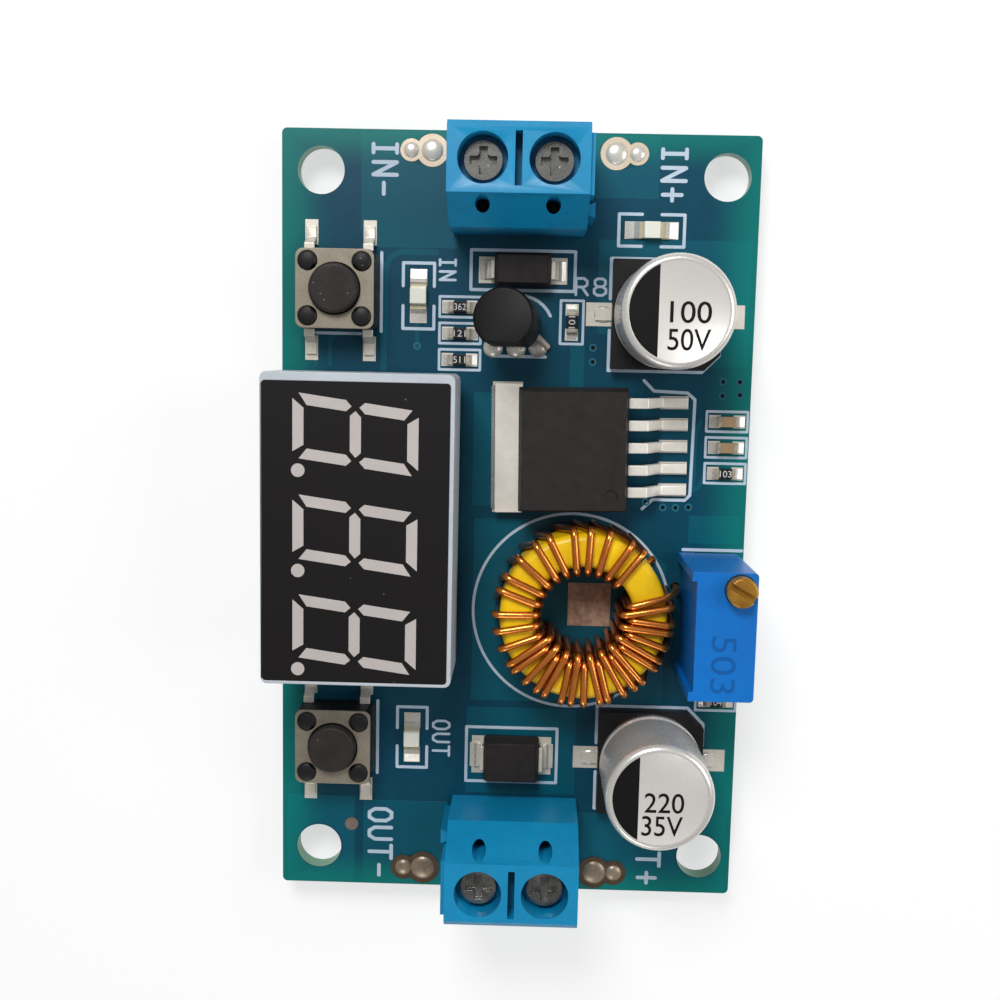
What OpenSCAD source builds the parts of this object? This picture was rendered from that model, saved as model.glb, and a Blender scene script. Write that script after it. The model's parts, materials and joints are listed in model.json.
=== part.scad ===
/* [Circuit board] */
// Width of the board
board_w = 36.5; // [36:0.1:40]
// Length of the board, from the input end to the output end
board_l = 60; // [59.6:0.1:66]
// Thickness of the board
board_t = 1.6; // [1:0.1:2.4]
// Radius of the board's corners
board_corner_r = 0.4; // [0.1:0.1:1]
// Diameter of the four mounting holes
hole_d = 3.6; // [3:0.1:4.2]
// From the left edge to the hole centres there
hole_from_left = 3; // [2.4:0.1:3.4]
// From the right edge to the hole centres there
hole_from_right = 2.5; // [2.3:0.1:2.8]
// From each end to the hole centres
hole_from_end = 3.1; // [2.4:0.1:3.4]
// How far the trimmed pins stand out below the board
pin_out = 1.4; // [0.8:0.1:2]

/* [Screw terminals] */
// Distance between the two poles of a terminal
terminal_pitch = 5; // [4.9:0.02:5.2]
// Height of a terminal above the board
terminal_h = 9.8; // [9.6:0.1:11]
// Depth of a terminal, from its sloped side to its wire side
terminal_d = 6.9; // [6.8:0.1:7.4]
// Depth of the flat top, measured from the wire side
terminal_top_d = 4.9; // [4.6:0.1:5]
// Height of the upright wall under the slope
terminal_back_h = 5.9; // [5.4:0.1:6.3]
// Diameter of the screwdriver wells
well_d = 3.55; // [3.3:0.05:3.7]
// Diameter of a clamp screw's head
clamp_head_d = 2.7; // [2.5:0.05:3]
// Diameter of a clamp screw's shank
clamp_shank_d = 2.4; // [2:0.1:2.4]
// Height of a screw head's top above the board
clamp_head_top = 8.3; // [8.2:0.1:8.8]
// How far a wire cage rises when its screw is tightened
cage_travel = 1.98; // [1.4:0.01:2]
// Thickness of the wire cage's sheet
cage_wall = 0.6; // [0.4:0.05:0.65]
// From each end of the board to the terminal's wire side
terminal_from_end = 0.8; // [0.4:0.1:1]

/* [Push buttons] */
// Side length of a switch
switch_size = 5.9; // [5.8:0.05:6.2]
// Height of the switch body above the board, under its cover
switch_h = 3.2; // [3:0.1:3.6]
// Thickness of the metal cover
cover_t = 0.25; // [0.15:0.05:0.4]
// Diameter of the button
button_d = 3.7; // [3.3:0.1:3.9]
// How far the button stands above the cover
button_proud = 0.85; // [0.5:0.05:1.4]
// Travel of the button
button_travel = 0.25; // [0.15:0.05:0.3]
// Distance between the two legs on one side
switch_leg_pitch = 4.5; // [4.2:0.1:4.8]

/* [Display] */
// Width of the display, across the board
display_w = 14; // [13.8:0.1:14.4]
// Length of the display, along the board
display_l = 22.8; // [22.4:0.1:23.4]
// Thickness of the display
display_t = 7.2; // [6.6:0.1:8]
// Gap between the board and the display
display_gap = 2; // [1.9:0.1:3]
// Distance between two digits
digit_pitch = 7.3; // [7.2:0.05:7.45]
// Height of a digit
digit_h = 9.05; // [8.8:0.05:9.3]
// Width of a digit
digit_w = 4.7; // [4.4:0.05:4.9]
// Width of a digit's strokes
stroke = 0.8; // [0.6:0.05:0.9]
// Lean of the digits, in degrees
digit_lean = 7.7; // [4:0.1:10]

/* [Power chip] */
// Width of the chip's body, along the board
chip_w = 9.5; // [9.2:0.1:9.8]
// Length of the chip's body, across the board
chip_l = 8.35; // [8:0.05:8.7]
// Height of the chip above the board
chip_h = 4.5; // [4.2:0.1:4.8]
// Thickness of the heat tab
tab_t = 1.3; // [1:0.05:1.5]
// Distance between two of the five leads
chip_lead_pitch = 1.7; // [1.6:0.02:1.75]

/* [Inductor] */
// Outer diameter of the ring core
core_od = 12.7; // [12.4:0.1:12.9]
// Inner diameter of the ring core
core_id = 7.6; // [7.4:0.1:8.2]
// Height of the ring core
core_h = 4.8; // [4:0.1:5.6]
// Diameter of the copper wire
wire_d = 0.56; // [0.4:0.01:0.57]
// Gap between the wire and the core
wire_gap = 0.08; // [0.08:0.01:0.12]

/* [Capacitors] */
// Diameter of a can
can_d = 8.1; // [7.8:0.05:8.3]
// Height of a can's top above the board
can_top = 10.1; // [9.6:0.1:11]
// Side length of a capacitor's base
can_base = 8.3; // [8.2:0.05:8.6]
// Thickness of a capacitor's base
can_base_t = 1.3; // [1:0.1:1.5]

/* [Trimmer] */
// Width of the trimmer, across the board
trimmer_w = 4.4; // [4.3:0.05:4.8]
// Length of the trimmer, along the board
trimmer_l = 9.5; // [9.3:0.1:9.8]
// Height of the trimmer above the board
trimmer_h = 10; // [9:0.1:11]
// Diameter of the adjusting screw
trim_screw_d = 2.2; // [2:0.05:2.4]
// How far the adjusting screw stands out
trim_screw_proud = 1.2; // [0.8:0.1:1.6]

/* [Regulator and small parts] */
// Diameter of the round regulator
regulator_d = 4.5; // [4.3:0.05:4.7]
// Height of the regulator's body
regulator_h = 4.5; // [4.2:0.1:4.8]
// Body of the input diode: length, width, height
input_diode_size = [4.3, 2.6, 2.2];
// Body of the output diode: length, width, height
output_diode_size = [4.4, 3.6, 2.3];
// Body of a chip resistor or capacitor: length, width, height
chip_part_size = [1.6, 0.8, 0.45];
// Body of an indicator light: length, width, height
led_size = [2, 1.25, 0.75];

/* [Hidden] */

$fn = 48;
// A sliver that lets a cut run past the face it opens
cut = 0.5;
// Running clearance between a screw or button and what guides it
running = 0.05;
// Easy clearance round a pin in its hole or a cage in its well
easy = 0.1;
// Thickness of a pad's metal on the board
pad_t = 0.05;

// The board's edges, with the origin at the centre of the four mounting holes
hole_span_x = board_w - hole_from_left - hole_from_right;
hole_span_y = board_l - 2 * hole_from_end;
board_left = -hole_span_x / 2 - hole_from_left;
board_right = hole_span_x / 2 + hole_from_right;
board_end = board_l / 2;
top = board_t;

// Places of the parts, measured from the middle of the hole pattern on a board of the
// drawn size; they spread with the board
drawn_w = 36.5;
drawn_l = 60;
function at(x, y) = [x * board_w / drawn_w, y * board_l / drawn_l];
function turned_at(x, y, turn) = concat(at(x, y), turn);

in_terminal_x = at(-0.3, 0)[0];
out_terminal_x = at(0.35, 0)[0];
terminal_y = board_end - terminal_from_end - terminal_d;
switch_x = at(-13.95, 0)[0];
switch_1_y = at(0, 17.85)[1];
switch_2_y = at(0, -17.55)[1];
display_x = at(-11.45, 0)[0];
display_y = at(0, 0.3)[1];
chip_x = at(0.08, 0)[0];
chip_y = at(0, 6.07)[1];
core_x = at(5.3, 0)[0];
core_y = at(0, -6.3)[1];
in_can = at(11.13, 16.45);
out_can = at(11.13, -18.8);
trimmer_x = board_right - 0.43 - trimmer_w / 2;
trimmer_y = at(0, -6.65)[1];
regulator_at = at(0, 13.8);
// The legs spread from the body's pitch to wider pads
regulator_pads = [
    regulator_at + [-2.24, 0],
    regulator_at,
    regulator_at + [2.1, 0.1]
];
input_diode_at = at(0.1, 19.65);
output_diode_at = at(0.05, -18.8);
// Diodes: place, body size and width of the leads
diodes = [[input_diode_at, input_diode_size, 1.4], [output_diode_at, output_diode_size, 2]];
folded_reach = 0.65;
// Indicator lights: place and turn
indicators = [
    turned_at(-7.92, 17.57, 90),
    turned_at(9.85, 22.85, 0),
    turned_at(-8, -17.55, 90)
];
// Chip resistors: place and turn
small_part_pitch = 2.02;
resistor_row = [for (i = [0:2]) concat(at(-4.68, 16.8) - [0, i * small_part_pitch], 0)];
resistors = concat(
    resistor_row,
    [turned_at(3.95, 15.8, 90), turned_at(16.24, 4.38, 0), turned_at(16.3, -13.9, 0)]
);
capacitors = [for (i = [1:2]) concat(at(16.24, 4.38) + [0, i * small_part_pitch], 0)];
test_pad = at(-12.85, -24.95);

// Wire holes beside the terminals: a large and a small one at each pole
big_wire_x = 7;
small_wire_x = 8.6;
wire_y = board_end - 1.5;
big_wire_d = 1.25;
small_wire_d = 0.95;
big_land_d = 2.45;
small_land_d = 1.7;
barrel_wall = 0.1;

// Inside of a terminal, in its own frame: x across the poles, y from the sloped
// side to the wire side, z up from the board
well_y = terminal_d - 2.55;
cage_w = 3.7;
cage_d = 3.2;
chamber_w = cage_w + 2 * easy;
chamber_d = cage_d + 2 * easy;
clamp_head_h = 0.9;
ledge_t = 0.4;
clamp_head_under = clamp_head_top - clamp_head_h;
ledge_z = clamp_head_under - 0.02 - ledge_t;
cage_top_z = ledge_z - easy / 2 - cage_travel;
bar_t = 0.6;
bar_top = cage_top_z - cage_wall - 0.15;
cage_bottom_z = bar_top - bar_t - 0.3 - cage_travel - cage_wall;
bar_w = 2.4;
leg_y = 1.15;
terminal_pin_d = 1;
test_hole_y = 1.37;
test_hole_d = 1.05;
entry_w = 3.5;
entry_z = cage_bottom_z + cage_wall;
entry_top = bar_top;

// Inside of a switch
flange_d = 4.3;
flange_t = 0.5;
switch_well_d = 4.6;
switch_well_z = 1.2;
dome_d = 3.8;
dome_rise = 0.5;
dome_t = 0.08;
nub_d = 1.2;
peg_d = 1.42;
peg_from_centre = 2.03;
switch_leg_w = 0.8;
switch_leg_t = 0.25;
switch_leg_reach = 4.9;

// Display
display_corner_r = 0.5;
face_rim = [0.45, 0.9];
face_w = display_w - face_rim[0];
face_l = display_l - face_rim[1];
face_shift = [-0.1, -0.2];
face_t = 0.15;
face_corner_r = 0.28;
shell_wall = 0.8;
shell_roof = 1.6;
display_pin_d = 0.5;
display_pin_pitch = 2.54;
display_pin_count = 6;
display_row = 10.16;
display_z = top + display_gap;
dot_d = 0.98;
dot_out = 0.7;
digit_shift = [-0.1, -0.28];
stroke_gap = 0.28;

// Controller and driver chips under the display
meter_chip_size = [3.9, 9.9, 1.5];
meter_chip_y = 5.6;
meter_lead_pitch = 1.27;
meter_lead_count = 8;
meter_lead_reach = 3;

// Power chip
chip_turn = 0.8;
tab_w = 10;
tab_out = 1.85;
chip_lead_w = 0.8;
chip_lead_t = 0.5;
chip_lead_y = 0.17;
chip_lead_reach = 4.75;
parting_z = 2.5;
draft = 0.3;

// Inductor
core_round = 0.6;
bend_r = 0.5;
wire_lane = wire_gap + wire_d / 2;
core_z = top + wire_lane * 2 + 0.1;
dense_turns = 20;
sparse_turns = 13;
dense_step = 8.6;
sparse_step = 13;
first_turn = 15.5;
// Inside the ring every other close turn lies over its neighbours
layer_in = wire_d + 0.04;
layer_lift = 0.16;
// Turns lean a little, each by its own angle
lean_most = 1.8;
lean_rhythm = 137;
rise_lag = 0.8;
wire_sides = 8;
start_pad = [trimmer_x - trimmer_w / 2 - 0.45, core_y + 1.6];

// Screw terminal, regulator and trimmer pins
trim_pin_d = 0.5;
trim_pin_pitch = 2.54;
trim_pin_inset = 1.3;
regulator_leg_d = 0.45;
regulator_lift = 1.9;
regulator_pitch = 1.27;
regulator_flat = 1.75;
regulator_foot = [regulator_pads[1][0] - 0.65, regulator_pads[1][1] + 1.75];
regulator_lean = [-4.5, -7.5, 0];

// ---------- helpers ----------

module rounded_plate(size, r, h) {
    linear_extrude(h) rounded_square(size, r);
}

module rounded_square(size, r) {
    square([size[0] - 2 * r, size[1]], center = true);
    square([size[0], size[1] - 2 * r], center = true);
    for (x = [-1, 1], y = [-1, 1])
        translate([x * (size[0] / 2 - r), y * (size[1] / 2 - r)]) circle(r);
}

// A straight round rod between two points
module rod(a, b, d) {
    v = b - a;
    flat = sqrt(v[0] * v[0] + v[1] * v[1]);
    translate(a) rotate([0, atan2(flat, v[2]), atan2(v[1], v[0])]) cylinder(h = norm(v), d = d);
}

// A bar with a profile in the y-z plane, w wide, centred on x
module profile_bar(points, w) {
    rotate([90, 0, 90]) translate([0, 0, -w / 2]) linear_extrude(w) polygon(points);
}

// A block whose four sides lean in by d above and below the parting height
module drafted_block(size, part_z, d) {
    intersection() {
        for_profile(size[0], size[1], size[2], part_z, d);
        rotate([0, 0, 90]) for_profile(size[1], size[0], size[2], part_z, d);
    }
}

module for_profile(w, l, h, part_z, d) {
    rotate([90, 0, 0]) translate([0, 0, -l / 2 - cut]) linear_extrude(l + 2 * cut) polygon([
        [-w / 2 + d / 2, 0], [w / 2 - d / 2, 0], [w / 2, part_z],
        [w / 2 - d, h], [-w / 2 + d, h], [-w / 2, part_z]
    ]);
}

// A flat lead that leaves a body at height z, bends down and ends in a foot
function gull(reach, z, t, run, foot) = [
    [0, z], [run, z], [reach - foot, t], [reach, t], [reach, 0], [reach - foot - t / 3, 0],
    [run - t * 0.8, z - t], [0, z - t]
];

// ---------- circuit board ----------

function mount_holes() = [for (x = [-1, 1], y = [-1, 1]) [x * hole_span_x / 2, y * hole_span_y / 2]];

function terminal_pins() = concat(
    [for (s = [-1, 1]) [in_terminal_x + s * terminal_pitch / 2, terminal_y + leg_y + bar_t / 2]],
    [for (s = [-1, 1]) [out_terminal_x + s * terminal_pitch / 2, -terminal_y - leg_y - bar_t / 2]]
);

function display_pin_places() = [
    for (s = [-1, 1], i = [0:display_pin_count - 1])
        [display_x + s * display_row / 2,
         display_y + (i - (display_pin_count - 1) / 2) * display_pin_pitch]
];

function trim_pin_places() = [
    for (i = [-1:1]) [trimmer_x - trimmer_w / 2 + trim_pin_inset, trimmer_y + i * trim_pin_pitch]
];

function wire_end_places() = [start_pad, last_lead()];

// Each pin hole as place and pin diameter
function pin_holes() = concat(
    [for (p = terminal_pins()) [p, terminal_pin_d]],
    [for (p = display_pin_places()) [p, display_pin_d]],
    [for (p = trim_pin_places()) [p, trim_pin_d]],
    [for (p = regulator_pads) [p, regulator_leg_d]],
    [for (p = wire_end_places()) [p, wire_d]]
);

function wire_holes() = [
    for (y = [-1, 1], x = [-1, 1]) each [
        [[x * big_wire_x, y * wire_y], big_wire_d, big_land_d],
        [[x * small_wire_x, y * wire_y], small_wire_d, small_land_d]
    ]
];

module circuit_board() {
    color([0, 0.36, 0.42])
    linear_extrude(board_t) difference() {
        translate([(board_left + board_right) / 2, 0])
            rounded_square([board_w, board_l], board_corner_r);
        for (p = mount_holes()) translate(p) circle(d = hole_d);
        for (h = pin_holes()) translate(h[0]) circle(d = h[1] + 2 * easy);
        for (h = wire_holes()) translate(h[0]) circle(d = h[1] + 2 * barrel_wall);
    }
}

// Plated wire holes: a barrel through the board with a land on each side
module wire_pads() {
    color([0.75, 0.71, 0.64])
    for (y = [-1, 1], x = [-1, 1]) difference() {
        union() for (h = wire_holes()) if (h[0][0] * x > 0 && h[0][1] * y > 0) translate(h[0]) {
            translate([0, 0, top]) cylinder(h = pad_t, d = h[2]);
            translate([0, 0, -pad_t]) cylinder(h = pad_t, d = h[2]);
            translate([0, 0, -pad_t / 2]) cylinder(h = board_t + pad_t, d = h[1] + 2 * barrel_wall);
        }
        for (h = wire_holes()) translate([h[0][0], h[0][1], -cut])
            cylinder(h = board_t + 2 * cut, d = h[1]);
    }
}

// A flat pad on the board's top
module pad(x, y, w, l) {
    translate([x - w / 2, y - l / 2, top]) cube([w, l, pad_t]);
}

// The two pads of a part with two ends: gap between them, size of each
module pad_pair(at, inner, reach, w) {
    translate([at[0], at[1], 0]) rotate([0, 0, at[2]]) for (s = [-1, 1])
        pad(s * (inner + reach) / 2, 0, reach - inner, w);
}

module solder_pads() {
    color([0.78, 0.74, 0.66]) {
        for (p = indicators) pad_pair(p, 0.75, 2.05, 1.3);
        for (p = concat(resistors, capacitors)) pad_pair(p, 0.5, 1.4, 1);
        pad_pair([input_diode_at[0], input_diode_at[1], 0], 1.6, 3.4, 2);
        pad_pair([output_diode_at[0], output_diode_at[1], 0], 1.6, 3.2, 3.1);
        for (c = [in_can, out_can]) pad_pair([c[0], c[1], 0], 2.2, 6.1, 1.8);
        for (y = [switch_1_y, switch_2_y], s = [-1, 1], t = [-1, 1])
            pad(switch_x + s * switch_leg_pitch / 2, y + t * 4.4, 1, 1.9);
        translate([chip_x, chip_y, 0]) rotate([0, 0, chip_turn]) {
            pad(0.05 - tab_out / 2, 0, tab_out + 0.5, tab_w + 0.2);
            for (i = [-2:2])
                pad(chip_l + chip_lead_reach - 1.05, chip_lead_y + i * chip_lead_pitch, 2.2, 1);
        }
        for (s = [-1, 1], t = [-1, 1]) for (i = [0:meter_lead_count - 1])
            pad(display_x + s * (meter_lead_reach - 0.35),
                display_y + t * meter_chip_y + (i - (meter_lead_count - 1) / 2) * meter_lead_pitch,
                0.9, 0.6);
        pad(core_x + 0.65, core_y, 3.35, 3.45);
        translate([test_pad[0], test_pad[1], top]) cylinder(h = pad_t, d = 1.05);
    }
}

// Solder that climbs the end of a part from its pad
module fillet_wedge(reach, w, h) {
    rotate([90, 0, 0]) translate([0, 0, -w / 2]) linear_extrude(w)
        polygon([[0, 0], [reach, 0], [reach * 0.35, h * 0.35], [0, h]]);
}

module fillet_pair(at, inner, reach, w, h) {
    translate([at[0], at[1], top + pad_t]) rotate([0, 0, at[2]]) for (s = [0, 180])
        rotate([0, 0, s]) translate([inner, 0, 0]) fillet_wedge(reach, w, h);
}

module solder_fillets() {
    color([0.8, 0.79, 0.76]) {
        for (p = indicators) fillet_pair(p, led_size[0] / 2, 1, led_size[1] * 0.95, 0.45);
        for (p = concat(resistors, capacitors))
            fillet_pair(p, chip_part_size[0] / 2, 0.55, chip_part_size[1] * 0.95, 0.35);
        for (d = diodes) fillet_pair([d[0][0], d[0][1], 0], d[1][0] / 2 + folded_reach, 0.5, d[2], 0.3);
        at_power_chip() translate([-tab_out, 0, pad_t]) rotate([0, 0, 180])
            fillet_wedge(0.3, tab_w - 0.4, 0.9);
    }
}

// Solder cones round the pins on the underside, clear of the pins
module solder_joints() {
    color([0.78, 0.78, 0.76])
    for (h = pin_holes()) translate([h[0][0], h[0][1], 0]) rotate([180, 0, 0]) difference() {
        cylinder(h = pin_out * 0.6, d1 = h[1] + 1.1, d2 = h[1] + 0.4);
        translate([0, 0, -cut]) cylinder(h = pin_out + cut, d = h[1] + running);
    }
}

// ---------- screw terminals ----------

module at_in_terminal() {
    translate([in_terminal_x, terminal_y, top]) children();
}

module at_out_terminal() {
    translate([out_terminal_x, -terminal_y, top]) rotate([0, 0, 180]) children();
}

module terminal_housing() {
    w = 2 * terminal_pitch;
    edge = 0.4;
    rib = 0.3;
    difference() {
        union() {
            profile_bar([
                [0, 0], [terminal_d, 0], [terminal_d, terminal_h - edge],
                [terminal_d - edge, terminal_h],
                [terminal_d - terminal_top_d, terminal_h], [0, terminal_back_h]
            ], w);
            // side rib that butts against a neighbouring block
            translate([w / 2 - cut, terminal_d - terminal_top_d, 0])
                cube([rib + cut, terminal_top_d - 0.7, terminal_h - 0.5]);
            // dovetail key
            translate([w / 2, 1.35, 0]) linear_extrude(terminal_back_h)
                polygon([[-cut, -0.35], [0, -0.35], [0.55, -0.55], [0.55, 0.55], [0, 0.35], [-cut, 0.35]]);
        }
        // dovetail groove on the other side
        translate([-w / 2, 1.35, -cut]) linear_extrude(terminal_back_h + cut + easy)
            polygon([[-cut, -0.42], [0, -0.42], [0.45, -0.58], [0.45, 0.58], [0, 0.42], [-cut, 0.42]]);
        // slot in the top between the wells
        translate([-0.25, well_y - 1.85, terminal_h - 2.4]) cube([0.5, 3.7, 2.4 + cut]);
        for (s = [-1, 1]) translate([s * terminal_pitch / 2, 0, 0]) pole_cut();
    }
}

// Everything cut for one pole
module pole_cut() {
    // screwdriver well
    translate([0, well_y, ledge_z + ledge_t]) cylinder(h = terminal_h, d = well_d);
    // hole for the screw's shank
    translate([0, well_y, ledge_z - cut]) cylinder(h = terminal_h, d = clamp_shank_d + 2 * easy);
    // chamber for the wire cage
    translate([-chamber_w / 2, well_y - chamber_d / 2, -cut])
        cube([chamber_w, chamber_d, ledge_z + cut]);
    // slot for the contact
    translate([-bar_w / 2 - easy, leg_y - easy, -cut])
        cube([bar_w + 2 * easy, well_y - leg_y, bar_top + cut + easy]);
    // wire entry with a flared mouth
    translate([0, terminal_d, 0]) profile_bar([
        [-terminal_d / 2, entry_z], [-0.5, entry_z], [cut, entry_z - 1],
        [cut, entry_top + 1], [-0.5, entry_top], [-terminal_d / 2, entry_top]
    ], entry_w);
    // test hole in the slope, over the contact
    translate([0, test_hole_y, bar_top - cut]) cylinder(h = terminal_h, d = test_hole_d);
}

// Current bar, its leg and its pin, for both poles
module terminal_contacts() {
    bar_end = well_y + chamber_d / 2 - 0.3;
    for (s = [-1, 1]) translate([s * terminal_pitch / 2, 0, 0]) union() {
        translate([-bar_w / 2, leg_y, bar_top - bar_t]) cube([bar_w, bar_end - leg_y, bar_t]);
        translate([-bar_w / 2, leg_y, 0]) cube([bar_w, bar_t, bar_top]);
        translate([0, leg_y + bar_t / 2, -board_t - pin_out])
            cylinder(h = board_t + pin_out, d = terminal_pin_d);
    }
}

// The box that lifts the wire against the bar
module wire_cage() {
    h = cage_top_z - cage_bottom_z;
    translate([0, well_y, cage_bottom_z]) difference() {
        translate([-cage_w / 2, -cage_d / 2, 0]) cube([cage_w, cage_d, h]);
        translate([-cage_w / 2 + cage_wall, -cage_d / 2 - cut, cage_wall])
            cube([cage_w - 2 * cage_wall, cage_d + 2 * cut, h - 2 * cage_wall]);
        translate([0, 0, cage_wall + cut]) cylinder(h = h, d = clamp_shank_d + 2 * running);
    }
}

module clamp_screw() {
    recess = 0.55;
    arm = clamp_head_d * 0.72;
    arm_w = 0.6;
    translate([0, well_y, 0]) difference() {
        union() {
            translate([0, 0, clamp_head_under]) cylinder(h = clamp_head_h, d = clamp_head_d);
            translate([0, 0, bar_top + running])
                cylinder(h = clamp_head_under - bar_top, d = clamp_shank_d);
        }
        for (t = [0, 90]) translate([0, 0, clamp_head_top]) rotate([0, 0, t])
            cube([arm, arm_w, 2 * recess], center = true);
        translate([0, 0, clamp_head_top - recess])
            cylinder(h = recess + cut, d1 = arm_w + 0.1, d2 = 2.3 * arm_w);
    }
}

module one_cage(s) {
    translate([s * terminal_pitch / 2, 0, 0]) wire_cage();
}

module one_screw(s) {
    translate([s * terminal_pitch / 2, 0, 0]) clamp_screw();
}

terminal_blue = [0, 0.47, 0.7];
nickel = [0.7, 0.7, 0.7];
tin = [0.78, 0.77, 0.74];

module in_housing() { color(terminal_blue) at_in_terminal() terminal_housing(); }
module in_contacts() { color(tin) at_in_terminal() terminal_contacts(); }
module in_cage_left() { color(nickel) at_in_terminal() one_cage(-1); }
module in_cage_right() { color(nickel) at_in_terminal() one_cage(1); }
module in_screw_left() { color(nickel) at_in_terminal() one_screw(-1); }
module in_screw_right() { color(nickel) at_in_terminal() one_screw(1); }
module out_housing() { color(terminal_blue) at_out_terminal() terminal_housing(); }
module out_contacts() { color(tin) at_out_terminal() terminal_contacts(); }
module out_cage_left() { color(nickel) at_out_terminal() one_cage(1); }
module out_cage_right() { color(nickel) at_out_terminal() one_cage(-1); }
module out_screw_left() { color(nickel) at_out_terminal() one_screw(1); }
module out_screw_right() { color(nickel) at_out_terminal() one_screw(-1); }

// ---------- push buttons ----------

module at_switch(y) {
    translate([switch_x, y, top]) children();
}

module switch_base() {
    seat = 0.1;
    difference() {
        union() {
            translate([0, 0, seat]) rounded_plate([switch_size, switch_size], 0.5, switch_h - seat);
            for (x = [-1, 1], y = [-1, 1])
                translate([x * peg_from_centre, y * peg_from_centre, switch_h - cut]) {
                    cylinder(h = cut + cover_t + 0.12, d = peg_d);
                    translate([0, 0, cut + cover_t + 0.12])
                        cylinder(h = 0.1, d1 = peg_d, d2 = peg_d * 0.6);
                }
        }
        translate([0, 0, switch_well_z]) cylinder(h = switch_h, d = switch_well_d - 0.6);
        translate([0, 0, switch_h - flange_t - button_travel - 0.15])
            cylinder(h = switch_h, d = switch_well_d);
    }
}

module switch_cover() {
    translate([0, 0, switch_h]) linear_extrude(cover_t) difference() {
        rounded_square([switch_size, switch_size], 0.6);
        circle(d = button_d + 2 * easy);
        for (x = [-1, 1], y = [-1, 1])
            translate([x * peg_from_centre, y * peg_from_centre]) circle(d = peg_d + running);
    }
}

module switch_button() {
    under = switch_h - running - flange_t;
    nub_end = switch_well_z + dome_rise + 0.03;
    rim = 0.15;
    translate([0, 0, under]) cylinder(h = flange_t, d = flange_d);
    translate([0, 0, under]) cylinder(h = switch_h + cover_t + button_proud - under - rim, d = button_d);
    translate([0, 0, switch_h + cover_t + button_proud - rim])
        cylinder(h = rim, d1 = button_d, d2 = button_d - 2 * rim);
    translate([0, 0, nub_end]) cylinder(h = under - nub_end + cut, d = nub_d);
}

// Snap dome: a shallow sprung cap
module switch_dome() {
    steps = 4;
    outer = [for (i = [0:steps]) [dome_d / 2 * cos(90 * i / steps), dome_rise * sin(90 * i / steps)]];
    inner = [
        for (i = [steps:-1:0])
            [max(0, dome_d / 2 - dome_t) * cos(90 * i / steps), (dome_rise - dome_t) * sin(90 * i / steps)]
    ];
    translate([0, 0, switch_well_z]) rotate_extrude() polygon(concat(outer, inner));
}

module switch_legs() {
    z = 1.2;
    for (t = [0, 180], s = [-1, 1]) rotate([0, 0, t])
        translate([s * switch_leg_pitch / 2, switch_size / 2, pad_t])
            profile_bar(gull(switch_leg_reach - switch_size / 2, z, switch_leg_t, 0.55, 0.9), switch_leg_w);
}

cover_metal = [0.6, 0.58, 0.53];
black_plastic = [0.13, 0.13, 0.13];

module switch_1_base() { color(black_plastic) at_switch(switch_1_y) switch_base(); }
module switch_1_cover() { color(cover_metal) at_switch(switch_1_y) switch_cover(); }
module switch_1_button() { color(black_plastic) at_switch(switch_1_y) switch_button(); }
module switch_1_dome() { color(nickel) at_switch(switch_1_y) switch_dome(); }
module switch_1_legs() { color(tin) at_switch(switch_1_y) switch_legs(); }
module switch_2_base() { color(black_plastic) at_switch(switch_2_y) switch_base(); }
module switch_2_cover() { color(cover_metal) at_switch(switch_2_y) switch_cover(); }
module switch_2_button() { color(black_plastic) at_switch(switch_2_y) switch_button(); }
module switch_2_dome() { color(nickel) at_switch(switch_2_y) switch_dome(); }
module switch_2_legs() { color(tin) at_switch(switch_2_y) switch_legs(); }

// ---------- display ----------

module at_display() {
    translate([display_x, display_y, display_z]) children();
}

module display_shell() {
    color([0.76, 0.77, 0.78]) at_display() difference() {
        rounded_plate([display_w, display_l], display_corner_r, display_t);
        translate([0, 0, -cut])
            rounded_plate([display_w - 2 * shell_wall, display_l - 2 * shell_wall], 0.4,
                          display_t - shell_roof + cut);
        translate([face_shift[0], face_shift[1], display_t - face_t])
            rounded_plate([face_w, face_l], face_corner_r, face_t + cut);
    }
}

// One digit, upright along +y, with its decimal point
module digit_shape() {
    half = stroke / 2;
    side = digit_w / 2 - half;
    end = digit_h / 2 - half;
    long = digit_w / 2 - 1.6 * stroke_gap;
    short = side - half - 0.8 * stroke_gap;
    tip = side - stroke_gap;
    multmatrix([[1, tan(digit_lean), 0, 0], [0, 1, 0, 0], [0, 0, 1, 0], [0, 0, 0, 1]]) {
        // across the top and the bottom
        for (y = [-1, 1]) polygon([
            [-long, y * (end + half)], [long, y * (end + half)],
            [short, y * (end - half)], [-short, y * (end - half)]
        ]);
        // across the middle
        polygon([
            [-tip, 0], [half - tip, half], [tip - half, half],
            [tip, 0], [tip - half, -half], [half - tip, -half]
        ]);
        // along the sides
        for (x = [-1, 1], y = [-1, 1]) polygon([
            [x * side, y * stroke_gap],
            [x * (side + half), y * (stroke_gap + half)],
            [x * (side + half), y * (end + half - 1.6 * stroke_gap)],
            [x * (side - half), y * (end - half - 0.8 * stroke_gap)],
            [x * (side - half), y * (stroke_gap + half)]
        ]);
    }
    translate([side + dot_out, -digit_h / 2 + dot_d / 2 - 0.1]) circle(d = dot_d);
}

// The three digits; their tops point to the board's right edge
module digits(h) {
    for (i = [-1:1]) translate([digit_shift[0], digit_shift[1] + i * digit_pitch, 0]) rotate([0, 0, -90])
        linear_extrude(h) digit_shape();
}

module display_face() {
    color([0.1, 0.09, 0.09]) at_display() translate([0, 0, display_t - face_t]) difference() {
        translate([face_shift[0], face_shift[1], 0]) rounded_plate([face_w, face_l], face_corner_r, face_t);
        translate([0, 0, -cut]) digits(face_t + 2 * cut);
    }
}

module display_segments() {
    color([0.7, 0.67, 0.66]) at_display() translate([0, 0, display_t - face_t]) digits(face_t);
}

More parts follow.
